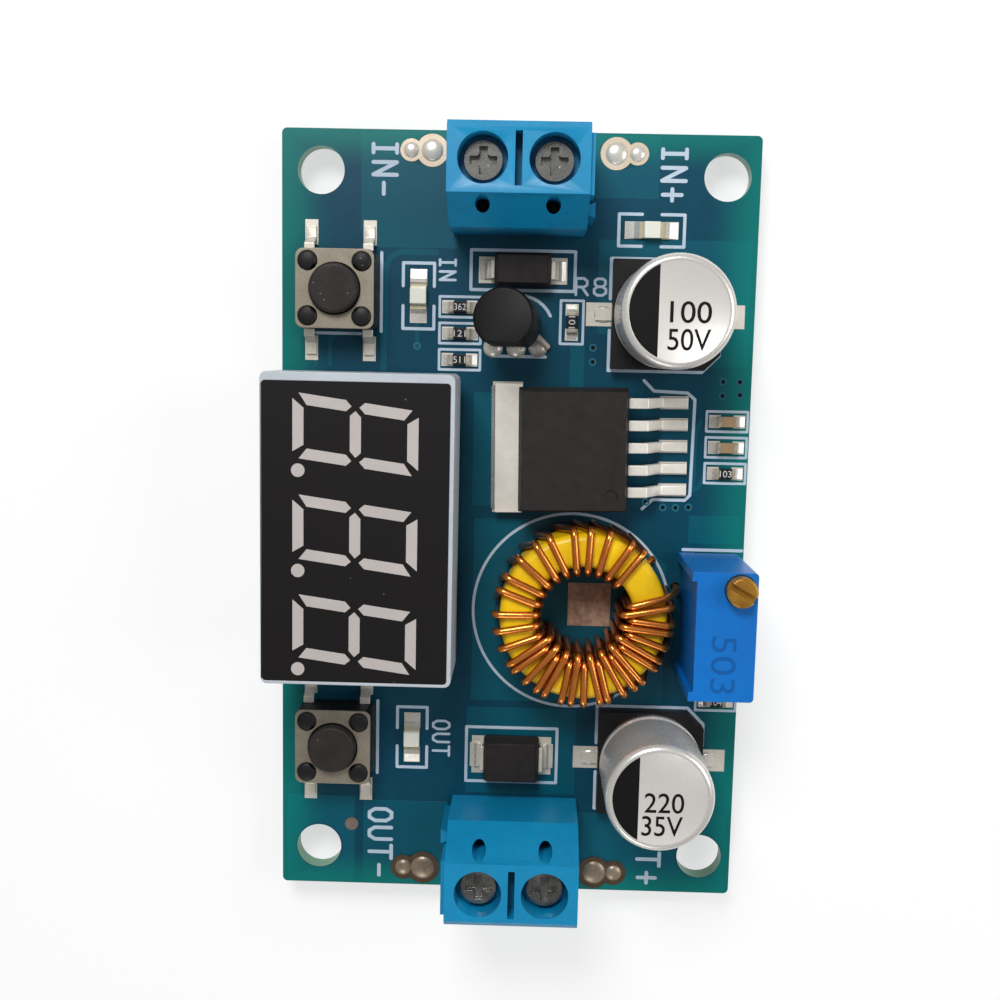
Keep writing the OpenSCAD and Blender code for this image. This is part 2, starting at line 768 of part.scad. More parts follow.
// Potting that closes the shell's underside and holds the pins
module display_filling() {
    color([0.85, 0.84, 0.78]) at_display() translate([0, 0, 0.4])
        rounded_plate([display_w - 2 * shell_wall, display_l - 2 * shell_wall], 0.4,
                      display_t - shell_roof - 0.4);
}

module display_pins() {
    color(tin) for (p = display_pin_places())
        translate([p[0], p[1], -pin_out])
            cylinder(h = display_z + 0.4 + pin_out, d = display_pin_d);
}

module meter_chips() {
    color(black_plastic) for (t = [-1, 1])
        translate([display_x, display_y + t * meter_chip_y, top + 0.15])
            drafted_block(meter_chip_size - [0, 0, 0.15], 0.6, 0.15);
}

module meter_chip_leads() {
    color(tin) for (t = [-1, 1], r = [0, 180], i = [0:meter_lead_count - 1])
        translate([display_x, display_y + t * meter_chip_y, top + pad_t]) rotate([0, 0, r + 90])
            translate([(i - (meter_lead_count - 1) / 2) * meter_lead_pitch,
                       meter_chip_size[0] / 2, 0])
                profile_bar(gull(meter_lead_reach - meter_chip_size[0] / 2, 0.75, 0.2, 0.3, 0.45), 0.4);
}

// ---------- power chip ----------

module at_power_chip() {
    translate([chip_x, chip_y, top]) rotate([0, 0, chip_turn]) children();
}

module power_chip_body() {
    color([0.2, 0.19, 0.19]) at_power_chip() difference() {
        translate([chip_l / 2, 0, pad_t])
            drafted_block([chip_l, chip_w, chip_h - pad_t], parting_z, draft);
        // seat of the tab and its heat spreader
        translate([-cut, -tab_w / 2, 0]) cube([cut + draft, tab_w, tab_t + pad_t]);
        translate([-cut, -chip_w * 0.4, 0]) cube([cut + chip_l * 0.8, chip_w * 0.8, tab_t + pad_t]);
        // pin one mark
        translate([chip_l - 1.35, -chip_w / 2 + 1.35, chip_h - 0.12]) cylinder(h = cut, d = 1);
    }
}

module power_chip_tab() {
    color(tin) at_power_chip() translate([0, 0, pad_t]) union() {
        translate([-tab_out, -tab_w / 2, 0]) cube([tab_out + draft, tab_w, tab_t]);
        translate([-tab_out, -chip_w * 0.4, 0]) cube([tab_out + chip_l * 0.8, chip_w * 0.8, tab_t]);
    }
}

module power_chip_leads() {
    lead_z = parting_z + chip_lead_t / 2;
    color(tin) at_power_chip() for (i = [-2:2])
        translate([chip_l, chip_lead_y + i * chip_lead_pitch, pad_t]) rotate([0, 0, -90])
            profile_bar(gull(chip_lead_reach, lead_z, chip_lead_t, 1.5, 2), chip_lead_w);
}

// ---------- regulator ----------

module regulator_body() {
    color([0.12, 0.12, 0.12]) translate([regulator_foot[0], regulator_foot[1], top + regulator_lift])
        rotate(regulator_lean) difference() {
            union() {
                cylinder(h = regulator_h - 0.15, d = regulator_d);
                translate([0, 0, regulator_h - 0.15])
                    cylinder(h = 0.15, d1 = regulator_d, d2 = regulator_d - 0.3);
            }
            translate([-regulator_d, -regulator_d - regulator_flat, -cut])
                cube([2 * regulator_d, regulator_d, regulator_h + 2 * cut]);
        }
}

module regulator_leads() {
    up = top + regulator_lift;
    color(tin) for (i = [0:2]) {
        low = [regulator_pads[i][0], regulator_pads[i][1], top + 0.3];
        high = [regulator_foot[0] + (i - 1) * regulator_pitch, regulator_foot[1] - 0.2, up - 0.3];
        rod([low[0], low[1], -pin_out], low, regulator_leg_d);
        translate(low) sphere(d = regulator_leg_d + 0.04);
        rod(low, high, regulator_leg_d);
    }
}

// ---------- diodes ----------

module diode_body(size) {
    lead_z = size[2] * 0.45;
    translate([0, 0, 0.1]) drafted_block(size - [0, 0, 0.1], lead_z, 0.25);
}

module input_diode() {
    color([0.12, 0.12, 0.12]) translate([input_diode_at[0], input_diode_at[1], top])
        diode_body(input_diode_size);
}

module output_diode() {
    color([0.14, 0.14, 0.14]) translate([output_diode_at[0], output_diode_at[1], top])
        diode_body(output_diode_size);
}

// A lead that folds down the body's end and stands on its pad
module folded_lead(size, w) {
    t = 0.2;
    h = size[2] * 0.45 + 0.1;
    rotate([0, 0, -90]) profile_bar([
        [0, h + t / 2], [t + 0.1, h + t / 2], [t + 0.1, t], [folded_reach, t], [folded_reach, 0],
        [0.1, 0], [0.1, h - t / 2], [0, h - t / 2]
    ], w);
}

module diode_leads() {
    color(tin) for (d = diodes, r = [0, 180])
        translate([d[0][0], d[0][1], top + pad_t]) rotate([0, 0, r]) translate([d[1][0] / 2, 0, 0])
            folded_lead(d[1], d[2]);
}

// ---------- inductor ----------

module inductor_core() {
    color([0.9, 0.76, 0.1]) translate([core_x, core_y, core_z + core_h / 2]) rotate_extrude()
        translate([(core_od + core_id) / 4, 0])
            rounded_square([(core_od - core_id) / 2, core_h], core_round);
}

// The wire's path round the core's section: r from the axis, z from the board's underside
wire_in = core_id / 2 - wire_lane;
wire_out = core_od / 2 + wire_lane;
wire_low = core_z - wire_lane;
wire_high = core_z + core_h + wire_lane;
corner_steps = 3;

function lies_over(i) = i < dense_turns && i % 2 == 1 ? 1 : 0;

// Corners in order: top inner, top outer, bottom outer, bottom inner
function corner_centre(k, i) = [
    k == 0 || k == 3 ? wire_in - layer_in * lies_over(i) + bend_r : wire_out - bend_r,
    k == 0 ? wire_high - bend_r + layer_lift * lies_over(i)
    : k == 3 ? wire_low + bend_r - layer_lift * lies_over(i)
    : k == 1 ? wire_high - bend_r : wire_low + bend_r
];
function corner_point(k, s, i) =
    let (a = 180 - 90 * k - 90 * s / (corner_steps - 1), c = corner_centre(k, i))
    [c[0] + bend_r * cos(a), c[1] + bend_r * sin(a)];

// Turn angles: close together round the lower half, spread round the upper
function turn_angle(i) =
    i <= dense_turns ? first_turn - dense_step * i
    : first_turn - dense_step * dense_turns - sparse_step * (i - dense_turns);
turns = dense_turns + sparse_turns;
// Under the core the wire runs straight out; it moves on to its next place as it rises
function corner_angle(k, i) =
    k == 1 ? turn_angle(i) + lean_most * sin(lean_rhythm * i)
    : k == 2 ? turn_angle(i - rise_lag)
    : turn_angle(i);

function on_ring(p, a) = [core_x + p[0] * cos(a), core_y + p[0] * sin(a), p[1]];

function last_lead() = [
    core_x + wire_out * cos(turn_angle(turns)),
    core_y + wire_out * sin(turn_angle(turns))
];

// The first turn starts at its own pad, outside the ring
function lead_in() = let (a = turn_angle(0), r = wire_out + 0.6) [
    [start_pad[0], start_pad[1], -pin_out],
    [start_pad[0], start_pad[1], top + 1.6],
    [start_pad[0] - 0.15, start_pad[1], top + 2.4],
    on_ring([r, wire_high - 1.6], a),
    on_ring([wire_out, wire_high - 0.35], a),
    on_ring([wire_out - 0.5, wire_high], a)
];
// The wire round one corner of turn i
function bent(k, i) = [
    for (s = [corner_steps - 1:-1:0]) on_ring(corner_point(k, s, i), corner_angle(k, i))
];
wire_path = concat(
    lead_in(),
    bent(0, 0),
    [for (i = [1:turns - 1]) each turn_path(i)],
    last_turn()
);

// From the inner side down, under the core to the next angle, up outside and back over the top
function turn_path(i) = concat(bent(3, i - 1), bent(2, i), bent(1, i), bent(0, i));
function last_turn() = [
    each bent(3, turns - 1),
    [last_lead()[0] - 0.6 * cos(turn_angle(turns)), last_lead()[1] - 0.6 * sin(turn_angle(turns)), wire_low],
    [last_lead()[0], last_lead()[1], wire_low - 0.2],
    [last_lead()[0], last_lead()[1], -pin_out]
];

// A round tube swept along a path, with its rings square to the path
function unit(v) = v / norm(v);
function path_dir(p, i) =
    i == 0 ? unit(p[1] - p[0])
    : i == len(p) - 1 ? unit(p[i] - p[i - 1])
    : unit(unit(p[i + 1] - p[i]) + unit(p[i] - p[i - 1]));
// Each ring's first axis is the last one's, turned to lie square to the path
function side_axes(p, i, last, out) =
    i == len(p) ? out
    : let (d = path_dir(p, i), u = unit(last - d * (last * d))) side_axes(p, i + 1, u, concat(out, [u]));

module swept_tube(path, d, sides) {
    axes = side_axes(path, 0, [0.3, 1, 0.2], []);
    points = [
        for (i = [0:len(path) - 1])
            let (t = path_dir(path, i), u = axes[i], v = cross(t, u))
            for (k = [0:sides - 1]) path[i] + d / 2 * (cos(360 * k / sides) * u + sin(360 * k / sides) * v)
    ];
    n = len(path);
    faces = concat(
        [for (i = [0:n - 2], k = [0:sides - 1]) each [
            [i * sides + k, (i + 1) * sides + k, (i + 1) * sides + (k + 1) % sides],
            [i * sides + k, (i + 1) * sides + (k + 1) % sides, i * sides + (k + 1) % sides]
        ]],
        [[for (k = [0:sides - 1]) k]],
        [[for (k = [sides - 1:-1:0]) (n - 1) * sides + k]]
    );
    polyhedron(points, faces);
}

module inductor_winding() {
    color([0.76, 0.45, 0.18]) swept_tube(wire_path, wire_d, wire_sides);
}

// ---------- capacitors ----------

module capacitor_base(at) {
    corner = 1.2;
    h = can_base / 2;
    translate([at[0], at[1], top + pad_t + 0.2]) difference() {
        linear_extrude(can_base_t) polygon([
            [-h, -h], [h - corner, -h], [h, -h + corner], [h, h - corner], [h - corner, h], [-h, h]
        ]);
        translate([0, 0, can_base_t - 0.7]) cylinder(h = 0.7 + cut, d = can_d + 0.04);
    }
}

module capacitor_can(at) {
    foot = pad_t + 0.2 + can_base_t - 0.7;
    r = can_d / 2;
    neck = 2.1;
    edge = 0.5;
    translate([at[0], at[1], top]) rotate_extrude() union() {
        polygon([
            [0, foot], [r - 0.2, foot], [r, foot + 0.2], [r, neck], [r - 0.35, neck + 0.3],
            [r - 0.35, neck + 0.5], [r, neck + 0.8], [r, can_top - edge], [0, can_top - edge]
        ]);
        translate([0, can_top - edge]) square([r - edge, edge]);
        intersection() {
            translate([r - edge, can_top - edge]) circle(edge);
            translate([r - edge, can_top - edge]) square(edge);
        }
    }
}

can_silver = [0.82, 0.82, 0.8];

module input_capacitor_base() { color(black_plastic) capacitor_base(in_can); }
module input_capacitor_can() { color(can_silver) capacitor_can(in_can); }
module output_capacitor_base() { color(black_plastic) capacitor_base(out_can); }
module output_capacitor_can() { color(can_silver) capacitor_can(out_can); }

module capacitor_leads() {
    color(tin) for (c = [in_can, out_can], s = [-1, 1])
        translate([c[0] + s * 3.7 - 1.7, c[1] - 0.45, top + pad_t]) cube([3.4, 0.9, 0.2]);
}

// ---------- trimmer ----------

module at_trimmer() {
    translate([trimmer_x, trimmer_y, top]) children();
}
trim_screw_inset = 1.27;
trim_screw_x = trimmer_w / 2 - trim_screw_inset;
trim_screw_y = trimmer_l / 2 - trim_screw_inset;
trim_bore_depth = 3;

module trimmer_housing() {
    stand = 0.4;
    rib = 0.35;
    color([0.05, 0.35, 0.72]) at_trimmer() difference() {
        union() {
            translate([0, 0, stand]) rounded_plate([trimmer_w, trimmer_l], 0.3, trimmer_h - stand);
            for (y = [-1, 1]) translate([-trimmer_w / 2 - rib, y * (trimmer_l / 2 - 0.35) - 0.35, 0])
                cube([rib + 1, 0.7, trimmer_h]);
            for (y = [-1, 1]) translate([trimmer_w / 2 - 1, y * (trimmer_l / 2 - 0.7) - 0.4, 0])
                cube([0.8, 0.8, 1]);
        }
        translate([trim_screw_x, trim_screw_y, trimmer_h - trim_bore_depth])
            cylinder(h = trim_bore_depth + cut, d = trim_screw_d + 2 * running);
    }
}

module trimmer_screw() {
    slot_w = 0.45;
    slot_deep = 0.6;
    tip = trimmer_h + trim_screw_proud;
    color([0.75, 0.6, 0.25]) at_trimmer() translate([trim_screw_x, trim_screw_y, 0]) difference() {
        union() {
            translate([0, 0, trimmer_h - trim_bore_depth + running])
                cylinder(h = trim_bore_depth + trim_screw_proud - running - 0.12, d = trim_screw_d);
            translate([0, 0, tip - 0.12]) cylinder(h = 0.12, d1 = trim_screw_d, d2 = trim_screw_d - 0.24);
        }
        translate([0, 0, tip]) rotate([0, 0, -30])
            cube([2 * trim_screw_d, slot_w, 2 * slot_deep], center = true);
    }
}

module trimmer_pins() {
    color(tin) for (p = trim_pin_places())
        translate([p[0], p[1], -pin_out]) cylinder(h = top + 0.4 + pin_out, d = trim_pin_d);
}

// ---------- indicator lights and chip parts ----------

module at_each(places) {
    for (p = places) translate([p[0], p[1], top + pad_t]) rotate([0, 0, p[2]]) children();
}

module indicator_bases() {
    color([0.86, 0.88, 0.84]) at_each(indicators)
        translate([-led_size[0] / 2 + 0.35, -led_size[1] / 2, 0]) cube([led_size[0] - 0.7, led_size[1], 0.3]);
}

module indicator_lenses() {
    l = led_size[0] * 0.72;
    color([0.9, 0.9, 0.85]) at_each(indicators) translate([0, 0, 0.3]) rotate([90, 0, 0])
        translate([0, 0, -led_size[1] / 2]) linear_extrude(led_size[1]) polygon([
            [-l / 2, 0], [l / 2, 0], [l / 2 - 0.12, led_size[2] - 0.3], [-l / 2 + 0.12, led_size[2] - 0.3]
        ]);
}

module indicator_terminals() {
    color([0.82, 0.78, 0.62]) at_each(indicators) for (s = [-1, 1])
        translate([s * (led_size[0] / 2 - 0.175) - 0.175, -led_size[1] / 2, 0])
            cube([0.35, led_size[1], 0.3]);
}

chip_cap = 0.3;
// Ceramic capacitors stand taller than resistors of the same outline
tall = 1.6;

module chip_core(k = 1) {
    translate([-chip_part_size[0] / 2 + chip_cap, -chip_part_size[1] / 2, 0])
        cube([chip_part_size[0] - 2 * chip_cap, chip_part_size[1], chip_part_size[2] * k]);
}

module chip_resistors() { color([0.1, 0.1, 0.11]) at_each(resistors) chip_core(); }
module chip_capacitors() { color([0.62, 0.5, 0.38]) at_each(capacitors) chip_core(tall); }

module chip_end_caps() {
    color(tin) for (s = [-1, 1]) {
        at_each(resistors) end_cap(s, chip_part_size[2]);
        at_each(capacitors) end_cap(s, chip_part_size[2] * tall);
    }
}

module end_cap(s, h) {
    translate([s * (chip_part_size[0] - chip_cap) / 2 - chip_cap / 2, -chip_part_size[1] / 2, 0])
        cube([chip_cap, chip_part_size[1], h]);
}

circuit_board();
wire_pads();
solder_pads();
solder_fillets();
solder_joints();
in_housing();
in_contacts();
in_cage_left();
in_cage_right();
in_screw_left();
in_screw_right();
out_housing();
out_contacts();
out_cage_left();
out_cage_right();
out_screw_left();
out_screw_right();
switch_1_base();
switch_1_cover();
switch_1_button();
switch_1_dome();
switch_1_legs();
switch_2_base();
switch_2_cover();
switch_2_button();
switch_2_dome();
switch_2_legs();
display_shell();
display_face();
display_segments();
display_filling();
display_pins();
meter_chips();
meter_chip_leads();
power_chip_body();
power_chip_tab();
power_chip_leads();
regulator_body();
regulator_leads();
input_diode();
output_diode();
diode_leads();
inductor_core();
inductor_winding();
input_capacitor_base();
input_capacitor_can();
output_capacitor_base();
output_capacitor_can();
capacitor_leads();
trimmer_housing();
trimmer_screw();
trimmer_pins();
indicator_bases();
indicator_lenses();
indicator_terminals();
chip_resistors();
chip_capacitors();
chip_end_caps();
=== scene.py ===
import json
import math

import bmesh
import bpy
from mathutils import Matrix, Vector


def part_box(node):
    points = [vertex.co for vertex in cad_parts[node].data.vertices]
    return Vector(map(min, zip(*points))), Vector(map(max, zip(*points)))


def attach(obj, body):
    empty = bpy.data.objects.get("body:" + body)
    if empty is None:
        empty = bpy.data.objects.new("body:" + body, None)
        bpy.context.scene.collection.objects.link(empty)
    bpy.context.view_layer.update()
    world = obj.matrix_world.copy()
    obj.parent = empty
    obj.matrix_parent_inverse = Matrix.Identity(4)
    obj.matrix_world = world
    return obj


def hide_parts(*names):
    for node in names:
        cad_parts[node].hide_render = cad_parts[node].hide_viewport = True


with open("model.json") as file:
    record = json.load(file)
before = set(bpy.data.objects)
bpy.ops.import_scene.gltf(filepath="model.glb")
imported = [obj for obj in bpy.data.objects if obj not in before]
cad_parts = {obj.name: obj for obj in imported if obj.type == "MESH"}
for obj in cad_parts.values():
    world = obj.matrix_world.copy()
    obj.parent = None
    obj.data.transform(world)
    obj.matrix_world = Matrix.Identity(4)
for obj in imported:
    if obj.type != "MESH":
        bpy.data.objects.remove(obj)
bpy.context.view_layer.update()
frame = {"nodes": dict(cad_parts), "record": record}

# Lengths are written in millimetres and turned into metres by MM.
MM = 0.001
record = frame["record"]
body_of = {node: body for body, nodes in record["behaviour"]["bodies"].items() for node in nodes}


def corners(node):
    """Lowest and highest corner of a CAD node, in millimetres."""
    low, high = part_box(node)
    return Vector(low) / MM, Vector(high) / MM


def middle(node):
    low, high = corners(node)
    return (low + high) / 2


BOARD_LOW, BOARD_HIGH = corners("circuit_board")
BOARD_TOP = BOARD_HIGH.z
REST_Z = corners("display_pins")[0].z

# ---------- finishes ----------


def linear(colour):
    """A colour of three 0 to 255 display values as the shader's linear RGBA."""
    parts = [c / 255 for c in colour]
    return [c / 12.92 if c <= 0.04045 else ((c + 0.055) / 1.055) ** 2.4 for c in parts] + [1.0]


def feed(tree, socket, value):
    """Links another socket to this one, or sets it to a plain value."""
    if isinstance(value, bpy.types.NodeSocket):
        tree.links.new(value, socket)
    else:
        socket.default_value = value


def add_node(tree, kind, **inputs):
    """A shader node with its inputs fed by name; an underscore stands for a space."""
    node = tree.nodes.new("ShaderNode" + kind)
    for name, value in inputs.items():
        feed(tree, node.inputs[name.replace("_", " ")], value)
    return node


def calculate(tree, operation, *values):
    """What a Math node makes of its values."""
    node = tree.nodes.new("ShaderNodeMath")
    node.operation = operation
    for socket, value in zip(node.inputs, values):
        feed(tree, socket, value)
    return node.outputs[0]


def blended(tree, kind, factor, a, b):
    """What a Mix node makes of two numbers (FLOAT) or two colours (RGBA)."""
    node = tree.nodes.new("ShaderNodeMix")
    node.data_type = kind
    for name, value in (("Factor", factor), ("A", a), ("B", b)):
        feed(tree, node.inputs[name], value)
    return node.outputs["Result"]


def group_with(name, ins, outs):
    """A shader node group with its sockets, and those sockets by name inside it."""
    group = bpy.data.node_groups.new(name, "ShaderNodeTree")
    for label, kind, value in ins:
        socket = group.interface.new_socket(name=label, in_out="INPUT", socket_type=kind)
        socket.default_value = value
    for label, kind in outs:
        group.interface.new_socket(name=label, in_out="OUTPUT", socket_type=kind)
    return group, group.nodes.new("NodeGroupInput").outputs, group.nodes.new("NodeGroupOutput").inputs


def make_drift_group():
    """Slow change between two tones over a surface, with a finer break-up on top."""
    group, given, out = group_with(
        "tone drift",
        [
            ("Light", "NodeSocketColor", (0.8, 0.8, 0.8, 1)),
            ("Dark", "NodeSocketColor", (0.4, 0.4, 0.4, 1)),
            ("Scale", "NodeSocketFloat", 300.0),
            ("Spread", "NodeSocketFloat", 0.5),
        ],
        [("Color", "NodeSocketColor"), ("Mask", "NodeSocketFloat")],
    )
    fine_to_broad, fine_share = 7.0, 0.35
    place = add_node(group, "TexCoord").outputs["Object"]
    finer = calculate(group, "MULTIPLY", given["Scale"], fine_to_broad)
    broad = add_node(group, "TexNoise", Vector=place, Scale=given["Scale"], Detail=3.0)
    fine = add_node(group, "TexNoise", Vector=place, Scale=finer, Detail=4.0)
    mixed = blended(group, "FLOAT", fine_share, broad.outputs["Fac"], fine.outputs["Fac"])
    half = calculate(group, "MULTIPLY", given["Spread"], 0.5)
    low = calculate(group, "SUBTRACT", 0.5, half)
    high = calculate(group, "ADD", 0.5, half)
    mask = add_node(group, "MapRange", Value=mixed, From_Min=low, From_Max=high).outputs[0]
    feed(group, out["Color"], blended(group, "RGBA", mask, given["Dark"], given["Light"]))
    feed(group, out["Mask"], mask)
    return group


def make_grain_group():
    """Height of a fine moulded, cast or drawn surface. Stretch draws the grain out along an axis."""
    group, given, out = group_with(
        "fine grain",
        [
            ("Scale", "NodeSocketFloat", 4000.0),
            ("Stretch", "NodeSocketVector", (1, 1, 1)),
            ("Pits", "NodeSocketFloat", 0.3),
        ],
        [("Height", "NodeSocketFloat")],
    )
    place = add_node(group, "TexCoord").outputs["Object"]
    drawn = group.nodes.new("ShaderNodeVectorMath")
    drawn.operation = "MULTIPLY"
    feed(group, drawn.inputs[0], place)
    feed(group, drawn.inputs[1], given["Stretch"])
    noise = add_node(group, "TexNoise", Vector=drawn.outputs[0], Scale=given["Scale"], Detail=5.0)
    cells = add_node(group, "TexVoronoi", Vector=drawn.outputs[0], Scale=given["Scale"])
    height = blended(group, "FLOAT", given["Pits"], noise.outputs["Fac"], cells.outputs["Distance"])
    feed(group, out["Height"], height)
    return group


def make_specks_group():
    """Small scattered specks: dust on plastic, dull spots on metal."""
    group, given, out = group_with(
        "specks",
        [("Scale", "NodeSocketFloat", 900.0), ("Size", "NodeSocketFloat", 0.12)],
        [("Mask", "NodeSocketFloat")],
    )
    patch_to_speck, bare_share = 0.25, 0.52
    place = add_node(group, "TexCoord").outputs["Object"]
    wide = calculate(group, "MULTIPLY", given["Scale"], patch_to_speck)
    cells = add_node(group, "TexVoronoi", Vector=place, Scale=given["Scale"])
    patches = add_node(group, "TexNoise", Vector=place, Scale=wide, Detail=2.0)
    near = calculate(group, "LESS_THAN", cells.outputs["Distance"], given["Size"])
    where = calculate(group, "GREATER_THAN", patches.outputs["Fac"], bare_share)
    feed(group, out["Mask"], calculate(group, "MULTIPLY", near, where))
    return group


TONE_DRIFT = make_drift_group()
FINE_GRAIN = make_grain_group()
SPECKS = make_specks_group()


class Finish:
    """A node material in the making: its shader, and short ways to feed it."""

    def __init__(self, name, roughness, metallic=0.0, coat=0.0, specular=0.5):
        self.material = bpy.data.materials.new(name)
        self.material.use_nodes = True
        self.tree = self.material.node_tree
        self.shader = self.tree.nodes["Principled BSDF"]
        self.feed("Roughness", roughness)
        self.feed("Metallic", metallic)
        self.feed("Coat Weight", coat)
        self.feed("Coat Roughness", 0.08)
        self.feed("Specular IOR Level", specular)

    def feed(self, name, value):
        feed(self.tree, self.shader.inputs[name], value)

    def group(self, made, **values):
        node = self.tree.nodes.new("ShaderNodeGroup")
        node.node_tree = made
        for name, value in values.items():
            node.inputs[name].default_value = value
        return node

    def tones(self, light, dark, scale, spread):
        """Base colour that drifts between two tones; returns the drift for more use."""
        drift = self.group(TONE_DRIFT, Light=linear(light), Dark=linear(dark), Scale=scale, Spread=spread)
        self.feed("Base Color", drift.outputs["Color"])
        return drift

    def uneven_gloss(self, drift, low, high):
        """Roughness that follows the drift's mask."""
        span = add_node(self.tree, "MapRange", Value=drift.outputs["Mask"], To_Min=low, To_Max=high)
        self.feed("Roughness", span.outputs[0])

    def grain(self, scale, depth_mm, stretch=(1, 1, 1), pits=0.3):
        height = self.group(FINE_GRAIN, Scale=scale, Stretch=stretch, Pits=pits).outputs["Height"]
        bump = add_node(self.tree, "Bump", Strength=1.0, Distance=depth_mm * MM, Height=height)
        self.feed("Normal", bump.outputs["Normal"])

    def specks(self, colour, scale, size, strength):
        """Specks of another colour over whatever feeds the base colour."""
        spots = self.group(SPECKS, Scale=scale, Size=size).outputs["Mask"]
        faded = calculate(self.tree, "MULTIPLY", spots, strength)
        under = self.shader.inputs["Base Color"].links[0].from_socket
        self.feed("Base Color", blended(self.tree, "RGBA", faded, under, linear(colour)))


def plastic(
    name, light, dark, roughness, grain_mm=0.004, coat=0.0, spread=0.6, scale=250.0, specular=0.35
):
    finish = Finish(name, roughness, coat=coat, specular=specular)
    drift = finish.tones(light, dark, scale, spread)
    finish.uneven_gloss(drift, roughness + 0.08, roughness - 0.06)
    finish.grain(3500.0, grain_mm)
    return finish


def metal(name, light, dark, roughness, stretch=(1, 1, 1), grain_mm=0.002, scale=500.0, metallic=0.5):
    finish = Finish(name, roughness, metallic=metallic)
    drift = finish.tones(light, dark, scale, 0.5)
    finish.uneven_gloss(drift, roughness + 0.12, roughness - 0.08)
    finish.grain(2500.0, grain_mm, stretch, pits=0.1)
    return finish


def levelness(tree):
    """1 where a surface faces straight up or down, 0 on upright walls."""
    normal = add_node(tree, "TexCoord").outputs["Normal"]
    parts = add_node(tree, "SeparateXYZ", Vector=normal)
    return calculate(tree, "ABSOLUTE", parts.outputs["Z"])


RIM_GLOW = {"X": 4.0, "Y": 3.0}
LAMINATE = (120, 165, 140)


def rim_mask(tree):
    """Rises from 0 to 1 towards the board's four sides."""
    centre = (BOARD_LOW + BOARD_HIGH) / 2 * MM
    half = (BOARD_HIGH - BOARD_LOW) / 2 * MM
    place = add_node(tree, "TexCoord").outputs["Object"]
    centred = add_node(tree, "Mapping", Vector=place, Location=(-centre.x, -centre.y, 0))
    parts = add_node(tree, "SeparateXYZ", Vector=centred.outputs["Vector"])
    rims = []
    for axis, reach in (("X", half.x), ("Y", half.y)):
        away = calculate(tree, "ABSOLUTE", parts.outputs[axis])
        rim = add_node(tree, "MapRange", Value=away, From_Min=reach - RIM_GLOW[axis] * MM, From_Max=reach)
        rim.interpolation_type = "SMOOTHSTEP"
        rims.append(rim.outputs[0])
    return calculate(tree, "MAXIMUM", *rims)


def mask_finish(name, light, dark, edge_glow):
    """Solder mask over glass fibre: glossy, with a paler rim where light comes through the laminate."""
    finish = Finish(name, 0.34, specular=0.2)
    tree = finish.tree
    drift = finish.tones(light, dark, 90.0, 0.7)
    finish.grain(2200.0, 0.003, pits=0.5)
    glow = blended(tree, "RGBA", rim_mask(tree), drift.outputs["Color"], linear(edge_glow))
    # the cut edges show the laminate instead
    cut = calculate(tree, "LESS_THAN", levelness(tree), 0.5)
    finish.feed("Base Color", blended(tree, "RGBA", cut, glow, linear(LAMINATE)))
    return finish


# Painted shade on the winding: the brown that the upright sides of each turn are darkened towards, and how
# far at most
SIDE_SHADE_BROWN = (110, 44, 12)
SIDE_SHADE_SHARE = 0.5


def enamel_wire():
    """Copper under clear enamel, with painted shade that browns the upright sides of each turn."""
    finish = Finish("enamelled copper with painted side shade", 0.3, metallic=0.92)
    drift = finish.tones((248, 160, 78), (206, 112, 44), 800.0, 0.6)
    finish.uneven_gloss(drift, 0.3, 0.18)
    # painted shade: the more upright a face of the wire, the browner it is painted
    side = add_node(finish.tree, "MapRange", Value=levelness(finish.tree), To_Min=SIDE_SHADE_SHARE, To_Max=0.0)
    edge = blended(finish.tree, "RGBA", side.outputs[0], drift.outputs["Color"], linear(SIDE_SHADE_BROWN))
    finish.feed("Base Color", edge)
    return finish


